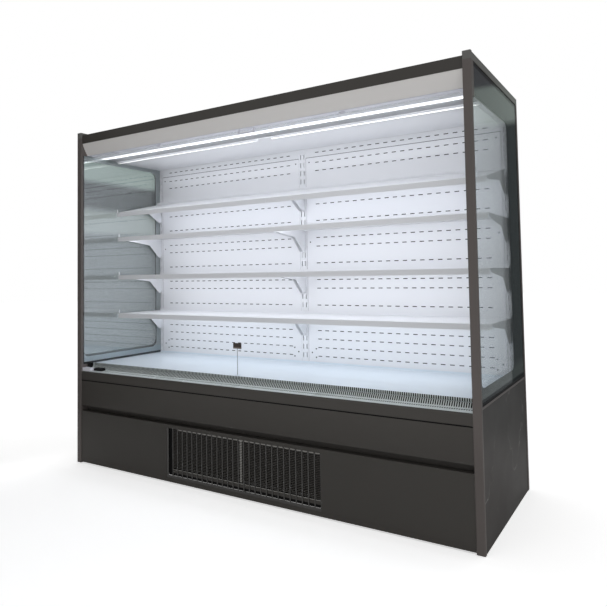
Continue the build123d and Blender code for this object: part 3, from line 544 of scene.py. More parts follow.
@dataclass(frozen=True)
class Finish:
    """A surface as a maker would order it: colour, gloss and the grain that belongs to it; some colours of
    the palette paint shade or highlight instead.
    """

    name: str
    colour: Colour
    roughness: tuple[float, float] = (0.35, 0.45)
    metallic: float = 0.0
    grain_scale: float = 900.0
    grain_depth_mm: float = 0.02
    grain_strength: float = 0.5
    specular: float = 0.5
    coat: float = 0.0
    coat_ior: float = 1.5
    emission: float = 0.0
    transmission: float = 0.0
    ior: float = 1.5

    def build(self) -> bpy.types.Material:
        """Make the material.

        Returns:
            The material, with its grain read from Object coordinates.
        """
        material = bpy.data.materials.new(self.name)
        material.use_nodes = True
        tree = material.node_tree
        shader = set_inputs(tree.nodes["Principled BSDF"], {
            "Base Color": (*self.colour, 1.0), "Metallic": self.metallic, "Specular IOR Level": self.specular,
            "Coat Weight": self.coat, "Coat IOR": self.coat_ior, "Coat Roughness": 0.0,
            "Transmission Weight": self.transmission})
        if self.emission:
            set_inputs(shader, {"Emission Color": (*self.colour, 1.0), "Emission Strength": self.emission})
        if self.transmission:
            set_inputs(shader, {"Roughness": self.roughness[0], "IOR": self.ior})
            return material
        grain = place_group(tree, powder_grain_group, {
            "Grain Scale": self.grain_scale, "Low": self.roughness[0], "High": self.roughness[1]})
        bump = set_inputs(tree.nodes.new("ShaderNodeBump"), {
            "Strength": self.grain_strength, "Distance": self.grain_depth_mm * MM})
        wire(tree, (grain, "Roughness", shader, "Roughness"), (grain, "Height", bump, "Height"),
             (bump, "Normal", shader, "Normal"))
        self.paint(tree, shader)
        return material

    def paint(self, tree: bpy.types.NodeTree, shader: bpy.types.Node) -> None:
        """Colour the surface; a plain finish keeps its one colour.

        Args:
            tree: the material's nodes.
            shader: its shader node.
        """


@dataclass(frozen=True)
class StoneLaminate(Finish):
    """Dark laminate with a stone print: soft clouds and broken pale veins."""

    cloud: Colour = (0.075, 0.070, 0.066)
    vein: Colour = (0.25, 0.24, 0.23)

    def paint(self, tree: bpy.types.NodeTree, shader: bpy.types.Node) -> None:
        """Lay clouds and veins over the ground colour.

        Args:
            tree: the material's nodes.
            shader: its shader node.
        """
        stone = place_group(tree, stone_veins_group, {})
        clouded = mixed(tree, stone.outputs["Clouds"], self.colour, self.cloud)
        tree.links.new(mixed(tree, stone.outputs["Veins"], clouded, self.vein), shader.inputs["Base Color"])


@dataclass(frozen=True)
class BandedPrint(Finish):
    """A finish whose colour changes with the height above the floor: print on the ticket and the glass,
    painted highlight on the posts' tops.
    """

    bands: Bands = ()

    def paint(self, tree: bpy.types.NodeTree, shader: bpy.types.Node) -> None:
        """Change to each band's colour between its two heights.

        Args:
            tree: the material's nodes.
            shader: its shader node.
        """
        tree.links.new(banded(tree, self.colour, self.bands), shader.inputs["Base Color"])


class Finishes:
    """Every material of the fridge, by the record's slot or by the piece's own name."""

    PALETTE: tuple[Finish, ...] = (
        Finish("dark_metal", (0.066, 0.061, 0.055), (0.38, 0.50), specular=0.3),
        # The tops of the posts and trims above 2.0135 m are a lighter greenish grey: a painted highlight from
        # the sky above.
        BandedPrint("post_metal", (0.130, 0.114, 0.107), (0.38, 0.50), specular=0.3,
                    bands=((2.0135, 2.0145, (0.16, 0.158, 0.148)),)),
        Finish("grille_bar", (0.085, 0.082, 0.078), (0.38, 0.50)),
        Finish("white_metal", (0.78, 0.79, 0.815), (0.30, 0.40), grain_depth_mm=0.01),
        Finish("deck_metal", (0.70, 0.77, 0.83), (0.30, 0.42), grain_depth_mm=0.01),
        Finish("foam_panel", (0.40, 0.41, 0.42), (0.40, 0.50)),
        Finish("galvanised", (0.55, 0.56, 0.57), (0.35, 0.55), metallic=1.0, grain_scale=120.0),
        Finish("zinc", (0.62, 0.62, 0.60), (0.30, 0.45), metallic=1.0),
        StoneLaminate("stone_board", (0.030, 0.025, 0.021), (0.40, 0.52), specular=0.25),
        Finish("clear_glass", (0.97, 0.985, 0.985), (0.0, 0.0), transmission=1.0, ior=1.2),
        Finish("coated_glass", (0.93, 0.97, 0.96), (0.0, 0.0), transmission=1.0, coat=1.0, coat_ior=1.6),
        Finish("black_rubber", (0.012, 0.012, 0.012), (0.55, 0.70), grain_depth_mm=0.05, specular=0.2),
        Finish("beige_sheet", (0.87, 0.845, 0.82), (0.40, 0.50)),
        Finish("white_plastic", (0.78, 0.78, 0.84), (0.25, 0.35), grain_depth_mm=0.0),
        # The return grille's white plastic, darkened to a greenish grey as painted shade.
        Finish("return_white", (0.64, 0.69, 0.68), (0.25, 0.35), grain_depth_mm=0.0),
        Finish("lamp_lens", (0.95, 0.97, 1.0), (0.40, 0.50), emission=1.1),
        Finish("aluminium_coil", (0.70, 0.71, 0.72), (0.30, 0.45), metallic=1.0),
        # The condenser's aluminium coil drawn black: painted shade behind the louvre.
        Finish("black_coil", (0.012, 0.012, 0.012), (0.50, 0.60), specular=0.2),
        Finish("black_plastic", (0.018, 0.018, 0.018), (0.45, 0.55), grain_depth_mm=0.05, specular=0.3),
        Finish("blind_cloth", (0.66, 0.66, 0.70), (0.60, 0.75), grain_scale=1800.0, grain_depth_mm=0.2),
        Finish("black_enamel", (0.015, 0.015, 0.015), (0.20, 0.35)),
        BandedPrint("ticket", (0.62, 0.68, 0.73), (0.40, 0.50),
                    bands=((0.5995, 0.6000, (0.30, 0.30, 0.30)), (0.7385, 0.7390, (0.15, 0.12, 0.105)),
                           (0.7480, 0.7485, (0.055, 0.042, 0.036)))),
        BandedPrint("outer_print", (0.080, 0.090, 0.082), (0.40, 0.50), grain_depth_mm=0.0, specular=0.0,
                    bands=((0.650, 0.700, (0.018, 0.024, 0.026)),)),
        BandedPrint("inner_print", (0.70, 0.79, 0.86), (0.40, 0.50), grain_depth_mm=0.0, specular=0.0,
                    bands=((0.645, 0.655, (0.70, 0.74, 0.76)),)),
        Finish("tube_lamp", (1.0, 0.99, 0.97), (0.40, 0.50), emission=1.2),
        # The outlet's white plastic cells, drawn grey as painted shade.
        Finish("outlet_grey", (0.40, 0.41, 0.43), (0.40, 0.50)),
        Finish("fold_line", (0.30, 0.30, 0.32), (0.40, 0.50)),
        # A lighter grey on the louvre's dark edges: painted highlight.
        Finish("bright_edge", (0.34, 0.33, 0.31), (0.30, 0.40)),
        Finish("screw_head", (0.10, 0.10, 0.11), (0.30, 0.40), metallic=0.6),
        Finish("duct_shade", (0.006, 0.006, 0.006), (0.55, 0.65), specular=0.1),
    )
    NODE_FINISHES: dict[str, str] = {
        "deck_panels": "deck_metal", "lamp_tubes": "white_metal", "end_glass_left": "coated_glass",
        "condenser_coil": "black_coil", "front_post_left": "post_metal", "front_post_right": "post_metal",
        "end_trims": "post_metal"}

    def __init__(self) -> None:
        """Build the whole palette."""
        self.by_name = {finish.name: finish.build() for finish in self.PALETTE}

    def __getitem__(self, name: str) -> bpy.types.Material:
        """The material of that name."""
        return self.by_name[name]

    def dress(self, frame: dict) -> None:
        """Give every CAD node its own material, or else its slot's.

        Args:
            frame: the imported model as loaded.
        """
        for entry in frame["record"]["subparts"]:
            node = entry["node"]
            data = frame["nodes"][node].data
            data.materials.clear()
            data.materials.append(self[self.NODE_FINISHES.get(node, entry["material_slot"])])


# ---------------------------------------------------------------- sub-assemblies


@dataclass
class SubAssembly:
    """A group of pieces that belong together, dressed from one palette."""

    finishes: Finishes

    def add(self, name: str, mesh: Mesh, finish: str, **ties: object) -> bpy.types.Object:
        """Add a piece in a finish of the palette; the rest is as in add_piece."""
        return add_piece(name, mesh, self.finishes[finish], **ties)


@dataclass
class BackWall(SubAssembly):
    """Perforated panels between the slotted uprights, their folded edges and screws, and painted shade in the
    duct behind.
    """

    slots: int = 21
    slot_mm: tuple[float, float] = (26.0, 4.8)
    slot_pitch_mm: float = 50.6
    rows_mm: tuple[float, ...] = (
        640, 692, 743, 794, 947, 1049, 1101, 1202, 1304, 1356, 1460, 1561, 1766, 1817)
    strip_rows_mm: tuple[float, ...] = (1878,)
    fold_mm: float = 1.6
    fold_depth_mm: tuple[float, float] = (-0.2, 0.2)
    duct_depth_mm: tuple[float, float] = (4.0, 5.0)
    screws_mm: tuple[tuple[float, float], ...] = (
        (53.0, 632.0), (53.0, 684.0), (24.5, 660.0), (24.5, 1330.0), (24.5, 1821.0))
    screw_radius_mm: float = 4.5
    screw_dome: tuple[tuple[float, float], ...] = ((1.0, 0.0), (1.0, 0.25), (0.7, 0.5), (0.0, 0.55))
    screw_sides: int = 10

    def panel(self, x: np.ndarray, y: np.ndarray, z: np.ndarray, rows_mm: Sequence[float]) -> Mesh:
        """One pierced sheet.

        Args:
            x: limits of the sheet along the front.
            y: its front and back face.
            z: its limits in height.
            rows_mm: heights of its rows of slots.

        Returns:
            The sheet's mesh.
        """
        wide, tall = mm(self.slot_mm)
        lines_x, in_x = slot_lines(evenly(self.slots, mm(self.slot_pitch_mm), np.mean(x)), wide, x)
        lines_z, in_z = slot_lines(mm(rows_mm), tall, z)
        return upright_sheet(lines_x, lines_z, np.outer(in_x, in_z), y[0], y[1] - y[0])

    def build(self) -> None:
        """Make both panels, the strips above them, the screw heads and the black sheets of painted shade in
        the duct.
        """
        fold = mm(self.fold_mm)
        dome = mm(self.screw_radius_mm) * np.array(self.screw_dome)
        screws = []
        for side in Side:
            node = f"back_panel_{side.label}"
            x, y, z = spans(node)
            self.add(f"perforated_panel_{side.label}", self.panel(x, y, z, self.rows_mm), "white_metal",
                     slot="white_metal", replaces=[node])
            face = y[0] + mm(self.fold_depth_mm)
            folds = joined([blocks((x[0], x[0] + fold), face, z), blocks((x[1] - fold, x[1]), face, z),
                            blocks(x, face, (z[1] - fold, z[1]))])
            self.add(f"panel_folds_{side.label}", folds, "fold_line")
            screws += [turned(dome, (at, y[0], height * MM), (0, -1, 0), self.screw_sides)
                       for inset, height in self.screws_mm for at in inside(x, inset)]
        (inner, _), _, (bottom, _) = spans("back_panel_right")
        x, y, z = spans("back_top_strips")
        halves = ((x[0], -inner), (inner, x[1]))
        strips = [self.panel(half, y, z, self.strip_rows_mm) for half in halves]
        self.add("perforated_strips", joined(strips), "white_metal", slot="white_metal",
                 replaces=["back_top_strips"])
        self.add("panel_screws", joined(screws), "screw_head", smooth=True)
        # Black sheets a few millimetres behind the panels paint the shade inside the duct, seen through the
        # slots.
        shade_sheets = [blocks(half, y[1] + mm(self.duct_depth_mm), (bottom, z[1])) for half in halves]
        self.add("duct_lining", joined(shade_sheets), "duct_shade")


@dataclass
class AirReturn(SubAssembly):
    """Moulded return grille between the bumper rail and the deck.

    From the front it has a low lip with small slots and a steep comb, and the comb's teeth go on up the
    deck's edge. Black sheets behind the slots are painted shade of the duct, and the grille's white is
    darkened to a greenish grey as painted shade.
    """

    gauge_mm: float = 1.2
    pitch_mm: float = 10.45
    blank_slots: int = 2
    slot_width_mm: float = 5.8
    lip_edge_mm: float = 2.4
    lip_mm: tuple[float, float] = (68.0, 2.0)
    small_mm: tuple[float, float] = (34.0, 52.0)
    small_width_mm: float = 7.0
    comb_border_mm: tuple[float, float] = (1.5, 0.2)
    shade_gap_mm: float = 3.0
    tray_inset_mm: float = 8.0
    tray_mm: float = 0.4
    rim_mm: float = 6.5
    clearance_mm: float = 0.3
    cap_mm: tuple[float, float, float] = (70.0, 30.0, 19.0)
    cap_inset_mm: float = 3.0
    plug_mm: tuple[float, float, float] = (66.0, 34.0, 15.0)
    plug_inset_mm: float = 30.0

    def build(self) -> None:
        """Bend the pierced sheet over its shade, carry its teeth up the deck, and close its left end."""
        x, y, z = spans("air_return_grille")
        gauge, gap, slot, pitch = mm((self.gauge_mm, self.shade_gap_mm, self.slot_width_mm, self.pitch_mm))
        centres = evenly(int((x[1] - x[0]) / pitch) - self.blank_slots, pitch)
        first, last = mm(self.comb_border_mm)
        front = np.array([y[0], z[0] + mm(self.lip_edge_mm)])
        knee = front + mm(self.lip_mm)
        top = np.array([y[1] - gap - gauge, z[1] - gauge])
        length = float(np.linalg.norm(top - knee))
        lip = self.strip(x, front, knee, mm(self.small_mm), centres, mm(self.small_width_mm))
        comb = self.strip(x, knee, top, (first, length - last), centres, slot)
        self.add("return_grille", joined([lip, comb]), "return_white", slot="white_plastic",
                 replaces=["air_return_grille"])
        # Painted shade: a black sheet under the lip and one behind the comb darken what shows through the
        # slots.
        under_shade = blocks(x, (y[0] + mm(self.tray_inset_mm), knee[0]), (z[0], z[0] + mm(self.tray_mm)))
        back = self.strip(x, knee + (gap, 0.0), top + (gap, 0.0))
        self.add("return_shade", joined([under_shade, back]), "duct_shade")

        # In front of the deck there is a gauge of depth for the teeth, and one behind them for their shade.
        _, deck_y, deck_z = spans("deck_panels")
        foot = np.array([deck_y[0] - 2 * gauge, z[1]])
        rim = np.array([foot[0], deck_z[1] - mm(self.rim_mm)])
        teeth = self.strip(x, foot, rim, (0.0, rim[1] - foot[1] - last), centres, slot)
        self.add("return_teeth", teeth, "return_white")
        between = inside(np.array([foot[0] + gauge, deck_y[0]]), self.clearance_mm)
        self.add("return_teeth_shade", blocks(x, between, (foot[1], rim[1] - last)), "duct_shade")

        floor = front[1] + gauge
        cap = (x[0], y[0] + mm(self.cap_inset_mm), floor)
        self.add("return_end_cap", block_at(cap, self.cap_mm), "white_plastic")
        plug = (x[0] + mm(self.cap_mm[0]), y[0] + mm(self.plug_inset_mm), floor)
        self.add("return_end_plug", block_at(plug, self.plug_mm), "black_rubber")

    def strip(self, x: np.ndarray, start: np.ndarray, stop: np.ndarray, cut: Sequence[float] = (0.0, 0.0),
              centres: Sequence[float] = (), width: float = 0.0) -> Mesh:
        """One flat strip of the sheet: along X, from its front edge to its rear one, and square to both.

        Args:
            x: limits of the strip along X.
            start: y and z of its front edge.
            stop: y and z of its rear edge.
            cut: where the slots start and end along the strip.
            centres: their places along X, none for a plain strip.
            width: width of a slot.

        Returns:
            The strip's mesh.
        """
        gauge = mm(self.gauge_mm)
        length = float(np.linalg.norm(stop - start))
        along = np.array([0.0, *(stop - start)]) / length
        axes = np.array([(1.0, 0.0, 0.0), along, (0.0, -along[2], along[1])])
        u, in_u = slot_lines(centres, width, x)
        v = np.array([0.0, *cut, length])
        real = np.diff(v) > WELD
        holes = np.outer(in_u, np.array([False, True, False])[real])
        return cell_sheet(u, np.concatenate([v[:1], v[1:][real]]), holes, gauge,
                          lambda a, b, w: (0.0, *start) + np.stack([a, b, w - gauge], 1) @ axes)


@dataclass
class MachineFront(SubAssembly):
    """Louvred insert of the lower front panel, the seam under the bumper rail widened by its painted shadow,
    and caps on the end panels.

    The insert is a plate of thin columns with fine rungs behind it, over a closed sill. Black sheets behind
    its first column and in the slots at its foot are painted shade, and the divider is a wider column of
    rungs. Lighter strips on the sill's edge, the heads of the openings and the divider's rungs are painted
    highlights. Depths run back from the plate's face or, for the sill and the edges on it, from the rungs'
    face.
    """

    span_mm: tuple[float, float] = (-482.0, 494.0)
    columns: int = 28
    bar_mm: float = 6.0
    bottom_mm: float = 45.0
    sill_mm: float = 80.0
    top_mm: float = 299.0
    plate_mm: float = 1.6
    rung_face_mm: float = 1.8
    rung_pitch_mm: float = 8.0
    rung_mm: float = 3.0
    sill_depth_mm: tuple[float, float] = (2.0, 3.0)
    edge_depth_mm: tuple[float, float] = (1.0, 1.8)
    sill_edge_mm: float = 3.0
    foot_slot_mm: tuple[float, float] = (3.0, 14.0)
    shut_depth_mm: float = 2.0
    head_mm: tuple[float, float] = (-6.0, -1.0)
    head_depth_mm: tuple[float, float] = (0.4, 1.4)
    head_inset_mm: float = 2.0
    divider_column: int = 14
    divider_width_mm: float = 13.0
    divider_rung_mm: float = 5.0
    divider_depth_mm: tuple[float, float] = (0.2, 1.4)
    seam_mm: tuple[float, float] = (-4.0, 0.5)
    seam_depth_mm: tuple[float, float] = (-0.4, 0.4)
    cap_mm: tuple[float, float] = (572.0, 583.0)
    cap_gauge_mm: float = 1.2

    def build(self) -> None:
        """Make the louvred insert, the seam with its painted shadow and the caps."""
        self.make_louvre()
        x, y, z = spans("upper_apron")
        # The seam under the bumper rail is drawn as a black strip 4.5 mm tall: the seam plus the bumper's
        # painted shadow line.
        seam = blocks(x, y[0] + mm(self.seam_depth_mm), z[1] + mm(self.seam_mm))
        self.add("bumper_seam", seam, "duct_shade")
        caps = []
        for side in Side:
            x, y, z = spans(f"side_base_{side.label}")
            outside = max(abs(x))
            caps.append(blocks(side.span(outside - mm(self.cap_gauge_mm), outside), y, mm(self.cap_mm)))
        self.add("base_caps", joined(caps), "post_metal")

    def make_louvre(self) -> None:
        """Make the pierced plate, the rungs and the sill behind it, black sheets of painted shade and strips
        of painted highlight.
        """
        x, y, z = spans("louvre_grille")
        left, right = mm(self.span_mm)
        bottom, sill, top = mm((self.bottom_mm, self.sill_mm, self.top_mm))
        pitch = (right - left) / self.columns
        centres = evenly(self.columns, pitch, (left + right) / 2)
        half = (pitch - mm(self.bar_mm)) / 2
        lines, in_x = slot_lines(centres, 2 * half, x)
        heights = np.array([z[0], bottom, top, z[1]])
        plate = upright_sheet(lines, heights, np.outer(in_x, [False, True, False]), y[0], mm(self.plate_mm))
        self.add("louvre_plate", plate, "grille_bar", slot="dark_metal", replaces=["louvre_grille"])

        behind = y[0] + mm(self.rung_face_mm)
        wide = (left + pitch, right)
        step = mm(self.rung_pitch_mm)
        rungs = np.arange(sill + step, top, step)
        ladder = blocks(wide, (behind, y[1]), (rungs, rungs + mm(self.rung_mm)))
        self.add("louvre_rungs", ladder, "dark_metal", slot="dark_metal")
        ledge = blocks(wide, behind + mm(self.sill_depth_mm), (bottom, sill))
        self.add("louvre_sill", ledge, "dark_metal", slot="dark_metal")

        openings = (centres[1:] - half, centres[1:] + half)
        edge = behind + mm(self.edge_depth_mm)
        # Painted shade: black blocks in the foot slots of each opening, and a black sheet behind the first
        # column.
        dark = joined([blocks(openings, edge, bottom + mm(self.foot_slot_mm)),
                       blocks((left, left + pitch), (y[1] - mm(self.shut_depth_mm), y[1]), (bottom, top))])
        self.add("louvre_dark_parts", dark, "duct_shade")

        head_half = half - mm(self.head_inset_mm)
        divider = centres[self.divider_column] + mm((-self.divider_width_mm / 2, self.divider_width_mm / 2))
        # Painted highlights: lighter strips on the sill's top edge in each opening, the heads of the openings
        # and the divider's rungs.
        bright = joined([
            blocks(openings, edge, (sill - mm(self.sill_edge_mm), sill)),
            blocks((centres[2:] - head_half, centres[2:] + head_half), y[0] + mm(self.head_depth_mm),
                   top + mm(self.head_mm)),
            blocks(divider, y[0] + mm(self.divider_depth_mm), (rungs, rungs + mm(self.divider_rung_mm)))])
        self.add("louvre_bright_edges", bright, "bright_edge")


@dataclass
class Canopy(SubAssembly):
    """Outlet cells in a grey that paints their shade, the lamp housing's lip and the lit edges of the two
    tube lamps.
    """

    cell_pitch_mm: float = 12.0
    cell_rows: int = 7
    wall_mm: float = 0.6
    rail_mm: float = 2.0
    cross_inset_mm: float = 1.0
    length_inset_mm: float = 0.5
    lip_mm: float = 48.0
    lip_drop_mm: tuple[float, float] = (-2.0, -0.5)
    lens_mm: tuple[float, float] = (1.0, 2.2)
    lens_lift_mm: float = 1.0
    lens_inset_mm: float = 16.0
    lens_gap_mm: tuple[float, float] = (-80.0, 46.0)

    def build(self) -> None:
        """Fill the outlet with thin crossing walls, and add the lip and the two lenses."""
        x, y, z = spans("air_outlet")
        half, rail = mm((self.wall_mm / 2, self.rail_mm))
        inner_x, inner_y = inside(x, self.rail_mm), inside(y, self.rail_mm)
        across = np.linspace(*inner_x, int((x[1] - x[0]) / mm(self.cell_pitch_mm)))
        along = np.linspace(*inner_y, self.cell_rows + 2)[1:-1]
        cells = [blocks((across - half, across + half), inner_y, inside(z, self.cross_inset_mm)),
                 blocks(x, (along - half, along + half), inside(z, self.length_inset_mm)),
                 blocks(x, (y[0], y[0] + rail), z), blocks(x, (y[1] - rail, y[1]), z)]
        # The white plastic cells are drawn grey: painted shade.
        self.add("outlet_cells", joined(cells), "outlet_grey", slot="white_plastic", replaces=["air_outlet"])

        x, y, z = spans("lamp_housing")
        lip = blocks(x, (y[0], y[0] + mm(self.lip_mm)), z[0] + mm(self.lip_drop_mm))
        self.add("lamp_lip", lip, "white_metal", slot="white_metal")

        x, y, z = spans("lamp_tubes")
        start, stop = inside(x, self.lens_inset_mm)
        gap_start, gap_stop = mm(self.lens_gap_mm)
        bottom = z[0] + mm(self.lens_lift_mm)
        size = mm(self.lens_mm)
        lenses = blocks(((start, gap_stop), (gap_start, stop)), (y[0], y[0] + size), (bottom, bottom + size))
        self.add("tube_lenses", lenses, "tube_lamp", slot="lamp_lens")


@dataclass
class EndGlazing(SubAssembly):
    """Printed borders on the two panes of each glazed end.

    A window is the clear part of a pane: how far its rear edge lies behind the front, its bottom and its top.
    """

    pane_mm: float = 5.0
    gap_mm: float = 0.1
    print_mm: float = 0.4
    edge_mm: float = 0.5
    front_mm: float = -425.0
    window_front_mm: float = 24.0
    corner_mm: float = 46.0
    windows_mm: tuple[tuple[Pane, Side, float, float, float], ...] = (
        (Pane.OUTER, Side.LEFT, 653.0, 654.0, 1884.0), (Pane.INNER, Side.LEFT, 645.0, 642.0, 1880.0),
        (Pane.OUTER, Side.RIGHT, 618.0, 654.0, 1868.0), (Pane.INNER, Side.RIGHT, 725.0, 642.0, 1880.0))

    def border(self, x: Sequence[float], pane: Sequence[np.ndarray], window: Sequence[np.ndarray]) -> Mesh:
        """A flat frame: an outer rectangle and a round-cornered window joined point by point on both faces.

        Args:
            x: its two faces along X.
            pane: limits of the pane in depth and in height.
            window: the same for the clear window.

        Returns:
            The frame's mesh.
        """
        outer, inner = rounded_window(*pane, 0.0), rounded_window(*window, mm(self.corner_mm))
        rings = [np.column_stack([np.full(len(ring), at), ring])
                 for ring, at in ((outer, x[0]), (inner, x[0]), (inner, x[1]), (outer, x[1]))]
        return np.concatenate(rings), grid_faces(4, len(inner), close_rows=True, close_columns=True)

    def build(self) -> None:
        """Print both panes at both ends, on the sides that face each other."""
        skin, ink = mm((self.pane_mm + self.gap_mm, self.print_mm))
        for pane, side, rear, bottom, top in self.windows_mm:
            x, y, z = spans(f"end_glass_{side.label}")
            near, far = sorted(abs(x))
            start = near + skin if pane is Pane.INNER else far - skin - ink
            window = mm(((self.front_mm + self.window_front_mm, self.front_mm + rear), (bottom, top)))
            limits = (inside(y, self.edge_mm), inside(z, self.edge_mm))
            frame = self.border(side.span(start, start + ink), limits, window)
            self.add(f"{pane.value}_border_{side.label}", frame, f"{pane.value}_print")


@dataclass
class Shelving(SubAssembly):
    """End stops of the four shelf levels."""

    levels: int = 4
    stop_mm: tuple[float, float, float] = (2.0, 5.0, 22.0)
    stop_inset_mm: float = 4.0
    rail_depth_mm: float = 12.0

    def build(self) -> None:
        """Stand a stop behind the front rail, at the left end of every level."""
        for level in range(1, self.levels + 1):
            boards = f"shelf_{level}_boards"
            x, y, _ = spans(boards)
            rail_y, rail_z = self.rail_top(boards, y[0] + mm(self.rail_depth_mm))
            stop = block_at((x[0], rail_y + mm(self.stop_inset_mm), rail_z), self.stop_mm)
            self.add(f"end_stop_{level}", stop, "white_metal", body=f"shelf_{level}", slot="white_metal")

    @staticmethod
    def rail_top(boards: str, limit: float) -> tuple[float, float]:
        """Top of a level's front rail: the highest of the boards' own points in front of a limit.

        Args:
            boards: the boards' node.
            limit: depth that the rail stays in front of.

        Returns:
            Its y and z.
        """
        mesh = bpy.data.objects[boards].data
        points = np.zeros(len(mesh.vertices) * 3)
        mesh.vertices.foreach_get("co", points)
        points = points.reshape(-1, 3)
        near = points[points[:, 1] < limit]
        _, y, z = near[np.argmax(near[:, 2])]
        return float(y), float(z)


@dataclass
class NightBlind(SubAssembly):
    """Cloth between the roller and the pull bar."""

    rows: int = 60
    columns: int = 9
    cloth_mm: float = 0.6

    def build(self) -> None:
        """Make the cloth as a grid over width and drop, tied to no body."""
        x, y, z = spans("blind_fabric")
        middle, gauge = np.mean(y), mm(self.cloth_mm)
        mesh = upright_sheet(np.linspace(*x, self.columns), np.linspace(*z, self.rows),
                             np.zeros((self.columns - 1, self.rows - 1), bool), middle - gauge / 2, gauge)
        cloth = self.add("blind_cloth_strip", mesh, "blind_cloth", body=None, slot="blind_cloth",
                         replaces=["blind_fabric"])
        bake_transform(cloth)


@dataclass
class CondensingUnit(SubAssembly):
    """Domed compressor behind the louvres. Its shell's profile is in shares of its radius and its height."""

    radius_mm: float = 92.0
    shell: tuple[tuple[float, float], ...] = ((0.0, 0.07), (0.9, 0.07), (0.97, 0.12), (0.97, 0.5), (1.0, 0.5))
    dome_from: float = 0.68
    dome_steps: int = 12
    sides: int = 48
    foot_mm: float = 20.0
    foot_height_mm: float = 14.0
    plate_mm: float = 2.0

    def build(self) -> None:
        """Turn the welded shell, a cylinder with a seam lip and an elliptical dome, on its plate and feet."""
        x, y, z = spans("compressor")
        centre_x, centre_y = np.mean(x), np.mean(y)
        angle = np.linspace(0, np.pi / 2, self.dome_steps)
        dome = np.stack([np.cos(angle), self.dome_from + (1 - self.dome_from) * np.sin(angle)], 1)
        profile = np.concatenate([self.shell, dome]) * (mm(self.radius_mm), z[1] - z[0])
        shell = turned(profile, (centre_x, centre_y, z[0]), (0, 0, 1), self.sides)
        foot, top = mm(self.foot_mm), z[0] + mm(self.foot_height_mm)
        plate = blocks(x, y, (top, top + mm(self.plate_mm)))
        reach = (x[1] - x[0]) / 2 - foot
        feet_x = centre_x - foot / 2 + reach * np.array([-1, -1, 1, 1])
        feet_y = centre_y - foot / 2 + reach * np.array([-1, 1, -1, 1])
        feet = blocks((feet_x, feet_x + foot), (feet_y, feet_y + foot), (z[0], top))
        self.add("compressor_shell", joined([shell, plate, feet]), "black_enamel", slot="black_enamel",
                 replaces=["compressor"], smooth=True)


# ---------------------------------------------------------------- studio


def studio_material(name: str, values: dict[str, float | tuple[float, ...]]) -> bpy.types.Material:
    """A material of the studio, whose own light isn't sampled as a lamp's is.

    Args:
        name: the material's name.
        values: the inputs of its shader.

    Returns:
        The material.
    """
    material = bpy.data.materials.new(name)
    material.use_nodes = True
    set_inputs(material.node_tree.nodes["Principled BSDF"], values)
    material.cycles.emission_sampling = "NONE"
    return material


def glow(name: str, colour: Colour, bands: Bands = ()) -> bpy.types.Material:
    """A surface that gives off an even light, or one that changes with the height above the floor.

    Args:
        name: the material's name.
        colour: light that it gives off at the bottom.
        bands: heights where a change starts and ends, and the light above it.

    Returns:
        The material.
    """
    material = studio_material(name, {"Base Color": (0.0, 0.0, 0.0, 1.0), "Specular IOR Level": 0.0,
                                      "Emission Color": (*colour, 1.0), "Emission Strength": 1.0})
    if bands:
        tree = material.node_tree
        tree.links.new(banded(tree, colour, bands), tree.nodes["Principled BSDF"].inputs["Emission Color"])
    return material


def put_up(name: str, mesh: Mesh, material: bpy.types.Material, seen_by: Sequence[Ray]) -> None:
    """Add a studio piece that only some kinds of ray meet.

    Args:
        name: the piece's name.
        mesh: its points and faces.
        material: its finish.
        seen_by: the kinds of ray.
    """
    data = bpy.data.meshes.new(name)
    data.from_pydata(mesh[0].tolist(), [], mesh[1].tolist())
    data.materials.append(material)
    piece = bpy.data.objects.new(name, data)
    bpy.context.scene.collection.objects.link(piece)
    for ray in Ray:
        setattr(piece, ray.value, ray in seen_by)
    piece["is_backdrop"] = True


@dataclass(frozen=True)
class SoftLight:
    """A cool-white rectangular light that isn't seen itself, turned from straight down towards the back."""

    name: str
    at: tuple[float, float, float]
    turn_degrees: float
    size: tuple[float, float]
    watts: float
    colour: Colour = (0.94, 0.96, 1.0)

    def hang(self) -> None:
        """Add the light to the scene."""
        data = bpy.data.lights.new(self.name, "AREA")
        data.shape = "RECTANGLE"
        data.size, data.size_y = self.size
        data.energy = self.watts
        data.color = self.colour
        lamp = bpy.data.objects.new(self.name, data)
        lamp.location = self.at
        lamp.rotation_euler = (math.radians(self.turn_degrees), 0, 0)
        for ray in (Ray.CAMERA, Ray.GLOSSY, Ray.TRANSMISSION):
            setattr(lamp, ray.value, False)
        bpy.context.scene.collection.objects.link(lamp)
        lamp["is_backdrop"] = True


@dataclass(frozen=True)
class Card:
    """An upright card that stands from one place on the floor to another, dark or with light of its own."""

    name: str
    start: tuple[float, float]
    end: tuple[float, float]
    seen_by: tuple[Ray, ...]
    colour: Colour = (0.0, 0.0, 0.0)
    bands: Bands = ()
    heights: tuple[float, float] = (0.005, 5.5)

    def stand(self) -> None:
        """Add the card to the scene."""
        low, high = self.heights
        corners = np.array([(*self.start, low), (*self.end, low), (*self.end, high), (*self.start, high)])
        put_up(self.name, (corners, ONE_FACE), glow(self.name, self.colour, self.bands), self.seen_by)


